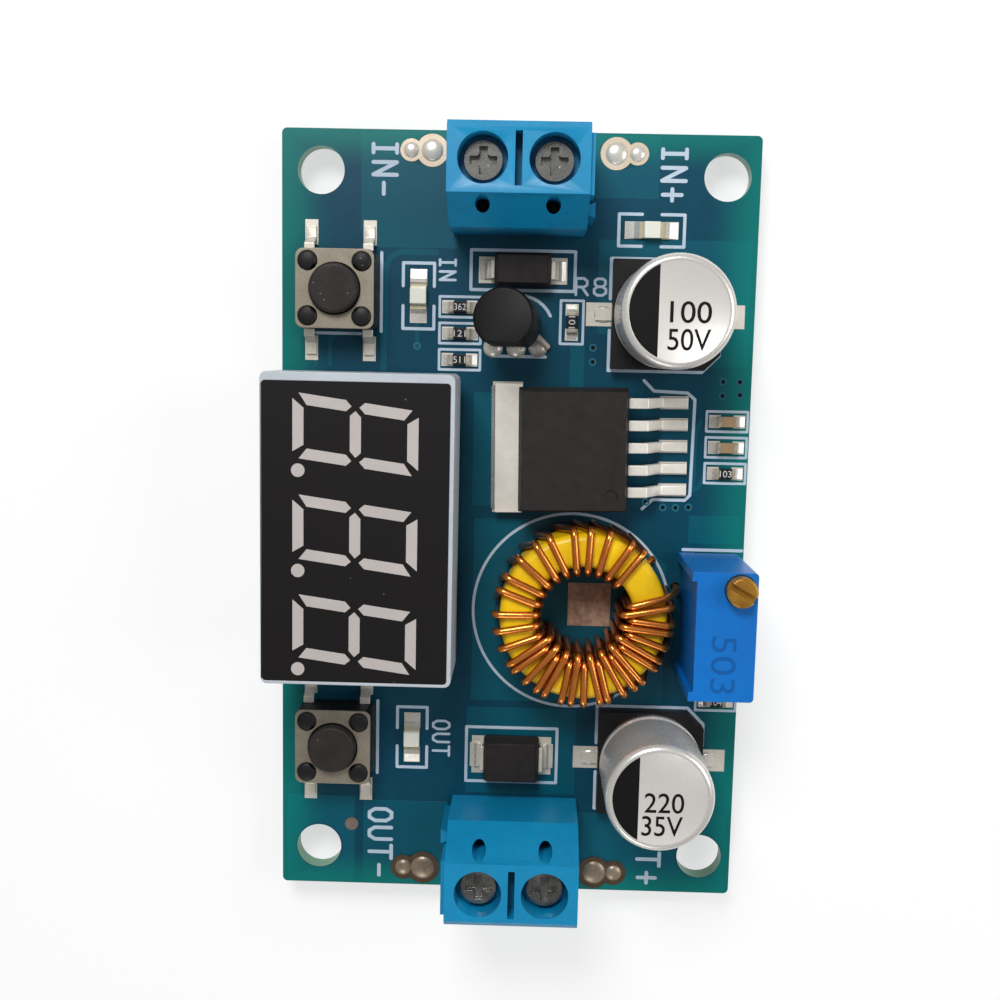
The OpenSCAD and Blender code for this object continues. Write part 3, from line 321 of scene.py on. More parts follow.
FINISHES = {
    "mask": mask_finish("solder mask", (0, 72, 92), (0, 48, 70), (0, 104, 100)),
    "mask_copper": mask_finish("solder mask over copper", (0, 86, 102), (0, 68, 88), (0, 108, 104)),
    "via": plastic("mask over a via", (34, 112, 132), (14, 78, 100), 0.35, 0.003),
    "print": plastic("board print", (188, 202, 216), (160, 178, 194), 0.55, 0.003),
    "tin": metal("tinned metal", (228, 223, 213), (196, 189, 174), 0.34, metallic=0.35),
    # painted light: a lighter copy of tin for the power chip's tab and leads, which lie in the display's
    # shadow
    "tin_with_painted_light": metal("tin with painted light", (240, 236, 228), (206, 199, 186), 0.3, scale=260.0, metallic=0.18),
    "wire_pad": metal("flux-tinted pad", (212, 196, 174), (178, 162, 140), 0.36, metallic=0.3),
    "brown_tin": metal("browned tin", (132, 118, 108), (84, 72, 66), 0.45, metallic=0.3),
    "solder": metal("solder", (232, 228, 220), (190, 184, 172), 0.24, grain_mm=0.004, metallic=0.4),
    "terminal_blue": plastic("terminal plastic", (10, 138, 184), (4, 114, 158), 0.36),
    "nickel": metal("nickel plate", (150, 146, 138), (90, 86, 82), 0.34, grain_mm=0.003),
    "screw": metal(
        "clamp screw", (158, 156, 150), (48, 49, 50), 0.24, grain_mm=0.008, scale=1100.0, metallic=0.85
    ),
    "bar": metal("contact in shade", (70, 68, 64), (36, 34, 34), 0.5),
    "black": plastic("black plastic", (30, 28, 28), (18, 17, 17), 0.45, 0.005, specular=0.2),
    "button": plastic("button plastic", (50, 45, 44), (26, 23, 23), 0.5, 0.012, scale=700.0, specular=0.2),
    "cover": metal("pressed sheet", (152, 144, 128), (118, 110, 96), 0.4, (1, 8, 1), 0.003),
    "display_case": plastic("display case", (182, 189, 195), (164, 171, 178), 0.42),
    "display_front": plastic("display front", (24, 21, 21), (15, 13, 13), 0.42, 0.003, specular=0.2),
    "segment": plastic("display segments", (180, 173, 170), (166, 160, 157), 0.5, 0.002),
    "potting": plastic("potting", (214, 208, 190), (196, 188, 168), 0.3, 0.006),
    "epoxy": plastic("moulded epoxy", (44, 40, 39), (30, 28, 27), 0.55, 0.009, scale=1200.0, specular=0.15),
    "epoxy_shiny": plastic("smooth epoxy", (20, 18, 17), (10, 9, 9), 0.4, 0.006, specular=0.12),
    "core": plastic("core paint", (244, 204, 18), (224, 178, 6), 0.32, 0.01),
    "can_top": metal("can lid", (214, 210, 205), (200, 196, 191), 0.4, grain_mm=0.0015, metallic=0.35),
    "can_side": metal("can wall", (222, 220, 216), (196, 192, 186), 0.26, (8, 8, 1), 0.002),
    "can_print": plastic("can print", (15, 13, 13), (9, 8, 8), 0.5, 0.002, specular=0.15),
    "trimmer_blue": plastic("trimmer plastic", (4, 110, 192), (2, 92, 170), 0.36, 0.004),
    # painted shade: the moulded figures take a darker blue for the shade along their relief
    "trimmer_figures_painted_shade": plastic("moulded figures in painted shade", (2, 88, 158), (2, 74, 140), 0.36, 0.002),
    "brass": metal("turned brass", (212, 160, 64), (140, 92, 32), 0.26, (1, 6, 1), 0.006, 900.0, 0.7),
    "led_base": plastic("lamp base", (214, 218, 208), (190, 194, 184), 0.45),
    "led_lens": plastic("lamp resin", (226, 226, 216), (204, 204, 190), 0.25, 0.002),
    "gold": metal("plated ends", (204, 196, 168), (166, 156, 126), 0.34),
    "resistor": plastic("resistor glaze", (26, 24, 26), (14, 13, 15), 0.3, 0.003),
    "figures": plastic("white figures", (206, 208, 206), (186, 188, 186), 0.5, 0.002),
    "capacitor": plastic("fired ceramic", (168, 140, 108), (140, 114, 84), 0.4, 0.004),
    "flux": plastic("dried flux", (92, 70, 48), (46, 32, 20), 0.2, 0.01, coat=0.6),
    # painted reflection: the copper winding mirrored in the tinned pad, as brown tones with darker smudges
    "pad_with_painted_reflection": plastic(
        "pad with painted winding reflection", (196, 168, 146), (88, 64, 48), 0.4, 0.006, spread=0.3, scale=330.0
    ),
    "chip_end": metal(
        "soldered chip end", (206, 198, 180), (104, 92, 76), 0.34, scale=1700.0, metallic=0.3
    ),
    "copper": enamel_wire(),
    "old_solder": metal("browned solder", (168, 152, 132), (96, 80, 64), 0.3, scale=700.0, metallic=0.4),
}
FINISHES["black"].specks((120, 112, 104), 1500.0, 0.1, 0.5)
FINISHES["button"].specks((120, 110, 100), 2200.0, 0.14, 0.6)
FINISHES["display_front"].specks((120, 116, 112), 700.0, 0.05, 0.5)

# ---------- shapes ----------

WELD = 0.002  # points of a CAD mesh closer than this are one point


def in_scene(name, data):
    """A new object at the origin, linked to the scene."""
    made = bpy.data.objects.new(name, data)
    bpy.context.scene.collection.objects.link(made)
    return made


def finish_piece(piece, finish, body, replaced=()):
    piece.data.materials.clear()
    piece.data.materials.append(FINISHES[finish].material)
    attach(piece, body)
    if replaced:
        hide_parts(*replaced)
    return piece


def piece_from(bm, name, sharp=35, recalc=True):
    """An object with bm as its mesh, smooth but for edges sharper than the angle."""
    if recalc:
        bmesh.ops.recalc_face_normals(bm, faces=bm.faces)
    mesh = bpy.data.meshes.new(name)
    bm.to_mesh(mesh)
    bm.free()
    mesh.shade_smooth()
    mesh.set_sharp_from_angle(angle=math.radians(sharp))
    return in_scene(name, mesh)


def mesh_of_curve(curve):
    """The mesh that a curve or a text gives."""
    maker = in_scene(curve.name, curve)
    seen = maker.evaluated_get(bpy.context.evaluated_depsgraph_get())
    mesh = bpy.data.meshes.new_from_object(seen)
    bpy.data.objects.remove(maker)
    return mesh


def softened(node, finish, width, segments=2, sharp=32):
    """A CAD node again with its hard edges rounded, in its own finish."""
    bm = bmesh.new()
    bm.from_mesh(frame["nodes"][node].data)
    bmesh.ops.remove_doubles(bm, verts=bm.verts, dist=WELD * MM)
    flat = math.radians(0.5)
    bmesh.ops.dissolve_limit(bm, angle_limit=flat, verts=bm.verts, edges=bm.edges, delimit={"NORMAL"})
    piece = piece_from(bm, node + "_finished", sharp=sharp, recalc=False)
    bevel = piece.modifiers.new("rounded edges", "BEVEL")
    bevel.width = width * MM
    bevel.segments = segments
    bevel.limit_method = "ANGLE"
    bevel.angle_limit = math.radians(sharp)
    bevel.harden_normals = True
    return finish_piece(piece, finish, body_of[node], [node])


def repaint(node, finish):
    """The CAD node itself, with a finish of its own."""
    mesh = frame["nodes"][node].data
    mesh.materials.clear()
    mesh.materials.append(FINISHES[finish].material)


def extent(points):
    """Lowest and highest corner of the box round some points."""
    return [Vector([pick(p[i] for p in points) for i in range(3)]) for pick in (min, max)]


def solids_of(node):
    """Boxes round a node's separate solids, in millimetres, from left to right."""
    bm = bmesh.new()
    bm.from_mesh(frame["nodes"][node].data)
    bmesh.ops.remove_doubles(bm, verts=bm.verts, dist=WELD * MM)
    seen, boxes = set(), []
    for start in bm.verts:
        if start in seen:
            continue
        seen.add(start)
        waiting, island = [start], []
        while waiting:
            vert = waiting.pop()
            island.append(vert.co.copy())
            joined = {edge.other_vert(vert) for edge in vert.link_edges} - seen
            seen |= joined
            waiting += joined
        low, high = extent(island)
        boxes.append((low / MM, high / MM))
    bm.free()
    return sorted(boxes, key=lambda box: (round(box[0].x, 1), -box[0].y))


def turned(bm, profile, axis_at, steps):
    """Spins an open profile of (radius, height) points about a vertical axis."""
    rim = [bm.verts.new(((axis_at[0] + r) * MM, axis_at[1] * MM, z * MM)) for r, z in profile]
    edges = [bm.edges.new(pair) for pair in zip(rim, rim[1:])]
    bmesh.ops.spin(
        bm,
        geom=rim + edges,
        cent=(axis_at[0] * MM, axis_at[1] * MM, 0),
        axis=(0, 0, 1),
        angle=math.tau,
        steps=steps,
        use_merge=True,
    )
    bmesh.ops.remove_doubles(bm, verts=bm.verts, dist=0.0005 * MM)


def arc(centre, radius, start, end, count):
    """Points of a round stretch, angles in degrees."""
    turn = [math.radians(start + (end - start) * i / count) for i in range(count + 1)]
    return [(centre[0] + radius * math.cos(a), centre[1] + radius * math.sin(a)) for a in turn]


def raise_faces(bm, faces, height):
    """Makes a plate of flat faces."""
    lifted = bmesh.ops.extrude_face_region(bm, geom=faces)
    verts = [v for v in lifted["geom"] if isinstance(v, bmesh.types.BMVert)]
    bmesh.ops.translate(bm, verts=verts, vec=(0, 0, height * MM))


def plate(bm, outline, low, high):
    """A flat plate with an outline in x and y, between two heights."""
    face = bm.faces.new([bm.verts.new((x * MM, y * MM, low * MM)) for x, y in outline])
    raise_faces(bm, [face], high - low)


def plate_with_holes(bm, outline, holes, low, high):
    """A flat plate whose holes are closed outlines wholly inside it."""
    edges = []
    for loop in [outline] + holes:
        verts = [bm.verts.new((x * MM, y * MM, low * MM)) for x, y in loop]
        edges += [bm.edges.new(pair) for pair in zip(verts, verts[1:] + verts[:1])]
    filled = bmesh.ops.triangle_fill(
        bm, use_beauty=True, use_dissolve=False, edges=edges, normal=(0, 0, -1)
    )
    raise_faces(bm, [f for f in filled["geom"] if isinstance(f, bmesh.types.BMFace)], high - low)


def disc(bm, at, radius, low, high, segments):
    made = bmesh.ops.create_cone(
        bm,
        cap_ends=True,
        segments=segments,
        radius1=radius * MM,
        radius2=radius * MM,
        depth=(high - low) * MM,
    )
    bmesh.ops.translate(bm, verts=made["verts"], vec=Vector((at[0], at[1], (low + high) / 2)) * MM)


def ring(bm, at, inner, outer, low, high, steps):
    profile = [(inner, low), (outer, low), (outer, high), (inner, high), (inner, low)]
    turned(bm, profile, at, steps)


# Bars and dabs of one printed line end at slightly different heights, so that no tops coincide
FIRST_BAR_LIFT, BAR_LIFT = 0.0015, 0.001
FIRST_DAB_LIFT, DAB_LIFT = 0.003, 0.002


def stroke(bm, points, width, low, high, closed=False):
    """A printed line: a bar along each stretch, with a round dab at each point."""
    ends = points[1:] + points[:1] if closed else points[1:]
    for i, (a, b) in enumerate(zip(points, ends)):
        a, b = Vector(a), Vector(b)
        along, centre = b - a, (a + b) / 2
        lift = BAR_LIFT * (i % 3) if i else FIRST_BAR_LIFT
        bar = Matrix.Diagonal((along.length, width, high - low, 1))
        turn = Matrix.Rotation(math.atan2(along.y, along.x), 4, "Z")
        place = Matrix.Translation((centre.x, centre.y, (low + high) / 2 + lift))
        bmesh.ops.create_cube(bm, size=1, matrix=Matrix.Scale(MM, 4) @ place @ turn @ bar)
    for i, p in enumerate(points):
        if p not in points[:i]:
            disc(bm, p, width / 2, low, high + FIRST_DAB_LIFT + DAB_LIFT * (i % 2), 12)


def lettering(name, text, at, size, thickness, turn=0.0, bold=0.0):
    """Text as a mesh. at is its middle, size is its width and cap height, turn in degrees."""
    curve = bpy.data.curves.new(name, "FONT")
    curve.body = text
    curve.extrude = 0.5
    curve.offset = bold
    mesh = mesh_of_curve(curve)
    low, high = extent([v.co for v in mesh.vertices])
    wide, tall = high.x - low.x, high.y - low.y
    fit = Matrix.Diagonal((size[0] / wide, size[1] / tall, thickness, 1))
    centred = Matrix.Translation(-(low + high) / 2)
    spun = Matrix.Rotation(math.radians(turn), 4, "Z")
    mesh.transform(Matrix.Scale(MM, 4) @ Matrix.Translation(at) @ spun @ fit @ centred)
    return in_scene(name, mesh)


# ---------- board print ----------

PRINT_LOW = BOARD_TOP - 0.02
PRINT_HIGH = BOARD_TOP + 0.02
THIN, MEDIUM, BOLD = 0.2, 0.24, 0.3

# Single-line letters on a unit square, as printed on circuit boards
LETTERS = {
    "I": [[(0.2, 0), (0.8, 0)], [(0.5, 0), (0.5, 1)], [(0.2, 1), (0.8, 1)]],
    "N": [[(0.05, 0), (0.05, 1), (0.95, 0), (0.95, 1)]],
    "O": [[(0.3, 0), (0.05, 0.25), (0.05, 0.75), (0.3, 1), (0.7, 1), (0.95, 0.75), (0.95, 0.25),
           (0.7, 0), (0.3, 0)]],
    "U": [[(0.05, 1), (0.05, 0.25), (0.3, 0), (0.7, 0), (0.95, 0.25), (0.95, 1)]],
    "T": [[(0.5, 0), (0.5, 1)], [(0, 1), (1, 1)]],
    "R": [[(0.05, 0), (0.05, 1), (0.65, 1), (0.9, 0.85), (0.9, 0.6), (0.65, 0.48), (0.05, 0.48)],
          [(0.5, 0.48), (0.95, 0)]],
    "8": [[(0.3, 0.52), (0.1, 0.66), (0.1, 0.88), (0.3, 1), (0.7, 1), (0.9, 0.88), (0.9, 0.66),
           (0.7, 0.52), (0.3, 0.52), (0.05, 0.36), (0.05, 0.14), (0.3, 0), (0.7, 0), (0.95, 0.14),
           (0.95, 0.36), (0.7, 0.52)]],
    "-": [[(0.1, 0.45), (0.9, 0.45)]],
    "+": [[(0.1, 0.45), (0.9, 0.45)], [(0.5, 0.05), (0.5, 0.85)]],
}
LAYER = 0.006  # each further line of a letter is this much higher, so that crossings stay clean

# Legends that run down the board: x of the letters' feet and caps, y of the first and last edge
LEGENDS = [
    ("IN-", -11.5, -9.7, 29.1, 25.1, BOLD),
    ("IN+", 10.5, 12.3, 29.1, 25.0, BOLD),
    ("OUT-", -11.4, -9.6, -23.6, -29.4, BOLD),
    ("OUT+", 10.5, 12.3, -23.6, -29.4, BOLD),
    ("IN", -6.3, -5.1, 20.5, 18.8, THIN),
    ("OUT", -6.3, -5.0, -16.1, -19.0, THIN),
]
# The upright number: where each character starts, its foot and its height
NUMBER = (("R", 4.15), ("8", 5.55))
NUMBER_FOOT, NUMBER_HEIGHT = 17.9, 1.25

CAPACITOR_BASES = ("input_capacitor_base", "output_capacitor_base")


def printed(bm, points, width=MEDIUM, closed=False):
    """A line of the board's print."""
    stroke(bm, points, width, PRINT_LOW, PRINT_HIGH, closed)


def legend(bm, text, foot_x, cap_x, start_y, end_y, width):
    """A legend whose letters have their tops towards +X and run down the board."""
    step = (start_y - end_y) / (len(text) - 0.3)
    wide = step * 0.7
    for i, letter in enumerate(text):
        for layer, line in enumerate(LETTERS[letter]):
            points = [(foot_x + v * (cap_x - foot_x), start_y - i * step - u * wide) for u, v in line]
            stroke(bm, points, width, PRINT_LOW, PRINT_HIGH + LAYER * layer)


def bracket(bm, x0, x1, y0, y1, open_side):
    """Three sides of a box, open on one side: n, s, e or w."""
    corners_of = {
        "n": [(x0, y1), (x0, y0), (x1, y0), (x1, y1)],
        "s": [(x0, y0), (x0, y1), (x1, y1), (x1, y0)],
        "e": [(x1, y0), (x0, y0), (x0, y1), (x1, y1)],
        "w": [(x0, y0), (x1, y0), (x1, y1), (x0, y1)],
    }
    printed(bm, corners_of[open_side])


def box_print(bm, at, size, width):
    x0, x1 = at[0] - size[0] / 2, at[0] + size[0] / 2
    y0, y1 = at[1] - size[1] / 2, at[1] + size[1] / 2
    printed(bm, [(x0, y0), (x1, y0), (x1, y1), (x0, y1)], width, closed=True)


def switch_print(bm, cover):
    """One line beside a switch and a short one below it."""
    low, high = corners(cover)
    beside, below = high.x + 0.2, low.y - 0.3
    printed(bm, [(beside, low.y - 0.1), (beside, high.y)])
    printed(bm, [(low.x + 1.1, below), (high.x - 1.4, below)])


def lamp_print(bm, at, upright):
    """Two brackets round an indicator light, open towards its middle."""
    long, wide, gap = 2.5, 1.2, 0.75
    if upright:
        bracket(bm, at[0] - wide, at[0] + wide, at[1] + gap, at[1] + long, "s")
        bracket(bm, at[0] - wide, at[0] + wide, at[1] - long, at[1] - gap, "n")
    else:
        bracket(bm, at[0] - long, at[0] - gap, at[1] - wide, at[1] + wide, "e")
        bracket(bm, at[0] + gap, at[0] + long, at[1] - wide, at[1] + wide, "w")


def chip_print(bm):
    """Boxes round the chip resistors, the chip capacitors and the two diodes."""
    across, up = (3.18, 1.55), (1.75, 3.3)
    for low, high in solids_of("chip_resistors") + solids_of("chip_capacitors"):
        size = high - low
        box_print(bm, (low + high) / 2, up if size.y > size.x else across, THIN)
    for node, margin in (("input_diode", (1.85, 0.2)), ("output_diode", (1.45, 0.45))):
        low, high = corners(node)
        size = high - low
        box_print(bm, (low + high) / 2, (size.x + 2 * margin[0], size.y + 2 * margin[1]), MEDIUM)


def can_print_outline(bm, base):
    """Outline just outside a capacitor's base with its two cut corners, open at the tabs."""
    low, high = corners(base)
    out, cut, tab = 0.12, 1.3, 1.2
    centre = (low + high) / 2
    for way in (-1, 1):
        y = centre.y + way * (high.y - low.y + 2 * out) / 2
        points = [
            (low.x - out, centre.y + way * tab),
            (low.x - out, y),
            (high.x + out - cut, y),
            (high.x + out, y - way * cut),
            (high.x + out, centre.y + way * tab),
        ]
        printed(bm, points)


def power_chip_print(bm):
    """A line round the power chip's leads, slanted at its ends."""
    low, high = corners("power_chip_leads")
    east, south, north = high.x + 0.45, low.y - 0.35, high.y + 0.35
    points = [
        (east - 4, north + 0.9),
        (east - 3.2, north + 0.1),
        (east - 0.6, north),
        (east, north - 0.5),
        (east - 0.1, south + 0.4),
        (east - 0.5, south),
        (east - 3, south),
        (east - 3.8, south - 0.75),
    ]
    printed(bm, points)


def coil_print(bm):
    """The circle round the inductor, which stands a little off its middle."""
    coil = middle("inductor_core")
    inner, outer = 7.68, 7.9
    ring(bm, (coil.x - 0.77, coil.y - 0.55), inner, outer, PRINT_LOW, PRINT_HIGH, 96)


def regulator_print(bm):
    """A line below the regulator's legs and a hood over its body."""
    low, high = corners("regulator_leads")
    centre_x, below, half = (low.x + high.x) / 2, low.y - 0.45, 2.05
    printed(bm, [(centre_x - half, below), (centre_x + half, below)])
    printed(bm, arc((centre_x, low.y + 1.6), 2.6, 25, 155, 12))


def trimmer_print(bm):
    """Lines along the trimmer's two long sides."""
    low, high = corners("trimmer_housing")
    west, east, gap = low.x + 0.4, BOARD_HIGH.x - 0.15, 0.2
    for y in (high.y + gap, low.y - gap):
        printed(bm, [(west, y), (east, y)])


def board_print():
    bm = bmesh.new()
    for cover in ("switch_1_cover", "switch_2_cover"):
        switch_print(bm, cover)
    for low, high in solids_of("indicator_lenses"):
        size = high - low
        lamp_print(bm, (low + high) / 2, size.y > size.x)
    chip_print(bm)
    for base in CAPACITOR_BASES:
        can_print_outline(bm, base)
    power_chip_print(bm)
    coil_print(bm)
    regulator_print(bm)
    trimmer_print(bm)
    for line in LEGENDS:
        legend(bm, *line)
    for letter, x in NUMBER:
        for line in LETTERS[letter]:
            printed(bm, [(x + u, NUMBER_FOOT + v * NUMBER_HEIGHT) for u, v in line], THIN)
    finish_piece(piece_from(bm, "board_print", sharp=20), "print", "board")


VIAS = [
    (15.8, 11.5), (17.1, 11.5), (15.8, 10.4), (17.15, 10.5), (10.15, 2.0), (11.5, 1.6), (12.5, 1.6),
    (13.5, 1.65), (5.65, 13.9), (5.65, 12.8), (-8.0, 13.75),
]


def via_rings():
    """Small plated holes under the mask: a raised ring, and a dark disc of painted shade where each hole
    is.
    """
    throat, inner, outer = 0.18, 0.17, 0.3
    low, rim_top, throat_top = BOARD_TOP - 0.02, BOARD_TOP + 0.03, BOARD_TOP + 0.006
    rims, hole_shade_discs = bmesh.new(), bmesh.new()
    for at in VIAS:
        ring(rims, at, inner, outer, low, rim_top, 16)
        # a dark disc of painted shade in place of the hole's darkness
        disc(hole_shade_discs, at, throat, low, throat_top, 16)
    finish_piece(piece_from(rims, "via_rings"), "via", "board")
    finish_piece(piece_from(hole_shade_discs, "via_hole_painted_shade"), "epoxy_shiny", "board")


# ---------- copper areas under the mask ----------

# Wire holes beside the terminals: where each large one and its small neighbour are, and their lands
BIG_X, SMALL_X, WIRE_Y = 7.0, 8.6, 28.5
BIG_LAND, SMALL_LAND = 1.26, 0.89
MOUNT_X, MOUNT_Y, MOUNT_R = 15.5, 26.9, 1.95
COPPER_LOW, COPPER_HIGH = BOARD_TOP - 0.01, BOARD_TOP + 0.012

# Narrow tracks and their widths
TRACKS = [
    ([(-10.6, 11.9), (-10.5, 19.7), (-10.1, 20.5), (-9.3, 20.9), (-6.6, 20.9)], 0.45),
    ([(-8.0, 13.75), (-8.0, 15.4)], 0.3),
    ([(-15.9, 12.2), (-15.9, 14.0)], 0.3),
    ([(-14.8, 12.2), (-14.8, 14.2), (-13.6, 15.2)], 0.3),
    ([(14.2, 8.4), (13.8, 7.4), (13.8, 3.4)], 0.35),
    ([(14.8, 4.4), (14.2, 3.2), (12.6, 2.4)], 0.3),
]


def opening(x_side, y_side):
    """Outline round a pair of wire holes, which the copper area leaves free."""
    spread = math.degrees(math.acos((BIG_LAND - SMALL_LAND) / (SMALL_X - BIG_X)))
    points = arc((BIG_X, WIRE_Y), BIG_LAND, spread, 360 - spread, 20)
    points += arc((SMALL_X, WIRE_Y), SMALL_LAND, -spread, spread, 14)
    return [(x * x_side, y * y_side) for x, y in points]


def copper_fields():
    """Each poured field: its outline and its openings."""
    left, right = BOARD_LOW.x + 0.4, BOARD_HIGH.x - 0.4
    end = BOARD_HIGH.y - 0.12
    mount_left, mount_right = [arc((x * MOUNT_X, -MOUNT_Y), MOUNT_R, 0, 350, 35) for x in (-1, 1)]
    return [
        ([(-12.4, end), (-5.0, end), (-5.0, 21.2), (-11.0, 21.2), (-12.4, 22.4)], [opening(-1, 1)]),
        ([(5.2, end), (10.3, end), (10.3, 25.2), (5.2, 25.2)], [opening(1, 1)]),
        ([(5.9, 22.1), (right, 22.2), (right, 12.6), (8.2, 12.6), (8.2, 15.0), (5.9, 15.0)], []),
        ([(-3.5, 10.3), (3.9, 10.3), (3.9, 14.3), (5.0, 14.3), (5.0, 10.3), (8.6, 10.3), (8.6, 1.4),
          (-3.5, 1.4)], []),
        ([(-3.3, 0.4), (8.0, 0.4), (12.0, -3.0), (12.0, -14.3), (-3.3, -14.3)], []),
        ([(-3.6, -14.9), (5.2, -14.9), (5.2, -22.0), (-3.6, -22.0)], []),
        ([(13.6, 1.0), (right, 1.0), (right, -1.2), (13.6, -1.2)], []),
        ([(left, -22.6), (-12.6, -22.6), (-12.6, -end), (left, -end)], [mount_left]),
        ([(-11.9, -22.9), (-5.0, -22.9), (-5.0, -end), (-11.9, -end)], [opening(-1, -1)]),
        ([(5.0, -23.5), (right, -23.5), (right, -end), (5.0, -end)], [opening(1, -1), mount_right]),
    ]


def copper_areas():
    """Poured copper that lifts the mask a little: the board's broad paler fields and its tracks."""
    bm = bmesh.new()
    for outline, holes in copper_fields():
        plate_with_holes(bm, outline, holes, COPPER_LOW, COPPER_HIGH)
    for points, width in TRACKS:
        stroke(bm, points, width, COPPER_LOW, COPPER_HIGH)
    finish_piece(piece_from(bm, "copper_areas", sharp=20), "mask_copper", "board")


# ---------- solder ----------


def dome(bm, at, radius, rise, squash=(1.0, 1.0)):
    """A blob of solder on the board: a low cap that meets the pad at a shallow angle."""
    made = bmesh.ops.create_uvsphere(bm, u_segments=24, v_segments=14, radius=1)
    fit = Matrix.Diagonal((radius * squash[0], radius * squash[1], rise, 1))
    place = Matrix.Translation((at[0], at[1], BOARD_TOP))
    bmesh.ops.transform(bm, matrix=Matrix.Scale(MM, 4) @ place @ fit, verts=made["verts"])


def solder_blobs():
    """Solder on the capacitors' tabs, the regulator's legs and in the input end's wire holes."""
    tab_x, leg_y = 4.75, 0.2
    bm = bmesh.new()
    for base in CAPACITOR_BASES:
        centre = middle(base)
        for side in (-1, 1):
            dome(bm, (centre.x + side * tab_x, centre.y), 0.85, 0.24, (0.9, 0.8))
    for low, high in solids_of("regulator_leads"):
        dome(bm, ((low.x + high.x) / 2, low.y + leg_y), 0.78, 0.42)
    for side in (-1, 1):
        dome(bm, (side * BIG_X, WIRE_Y), 0.85, 0.3)
        dome(bm, (side * SMALL_X, WIRE_Y), 0.6, 0.24)
    finish_piece(piece_from(bm, "solder_blobs", sharp=80), "solder", "board")


def browned_solder():
    """Browned solder in the output end's wire holes, each blob in a ring of dried flux."""
    rise, flux_width, flux_low, flux_high = 0.34, 0.32, BOARD_TOP - 0.02, BOARD_TOP + 0.08
    blobs, flux = bmesh.new(), bmesh.new()
    for side in (-1, 1):
        for x, size in ((BIG_X, 1.0), (SMALL_X, 0.7)):
            at = (side * x, -WIRE_Y)
            dome(blobs, at, size, rise)
            # the wider ring is higher, so that the two rings' tops don't coincide
            ring(flux, at, size * 0.9, size + flux_width, flux_low, flux_high + size * 0.02, 32)
    finish_piece(piece_from(blobs, "browned_solder", sharp=80), "old_solder", "board")
    finish_piece(piece_from(flux, "flux_rings"), "flux", "board")


def browned_test_pad():
    at, radius, height = (-12.85, -24.95), 0.54, 0.08
    bm = bmesh.new()
    disc(bm, at, radius, BOARD_TOP, BOARD_TOP + height, 32)
    finish_piece(piece_from(bm, "browned_test_pad"), "brown_tin", "board")


# ---------- inductor ----------


def inductor():
    """The ring core with rounded corners, and its winding."""
    low, high = corners("inductor_core")
    centre = (low + high) / 2
    outer = (high.x - low.x) / 2
    inner, corner = 3.8, 0.6
    quarters = [
        (outer - corner, high.z - corner, 0),
        (inner + corner, high.z - corner, 90),
        (inner + corner, low.z + corner, 180),
        (outer - corner, low.z + corner, 270),
    ]
    profile = []
    for r, z, start in quarters:
        profile += arc((r, z), corner, start, start + 90, 6)
    bm = bmesh.new()
    turned(bm, profile + profile[:1], centre, 120)
    core = piece_from(bm, "core_finished", sharp=60)
    finish_piece(core, "core", "board", ["inductor_core"])
    winding(centre, inner, outer, low.z, high.z)


def reflection_painted_pad():
    """The pad that shows through the ring, with a painted reflection of the copper winding in brown tones.
    """
    coil = middle("inductor_core")
    x, y, half_x, half_y, height = coil.x + 0.65, coil.y, 1.66, 1.71, 0.075
    outline = [(x + i * half_x, y + j * half_y) for i, j in ((-1, -1), (1, -1), (1, 1), (-1, 1))]
    bm = bmesh.new()
    plate(bm, outline, BOARD_TOP, BOARD_TOP + height)
    finish_piece(piece_from(bm, "reflection_painted_pad", sharp=20), "pad_with_painted_reflection", "board")


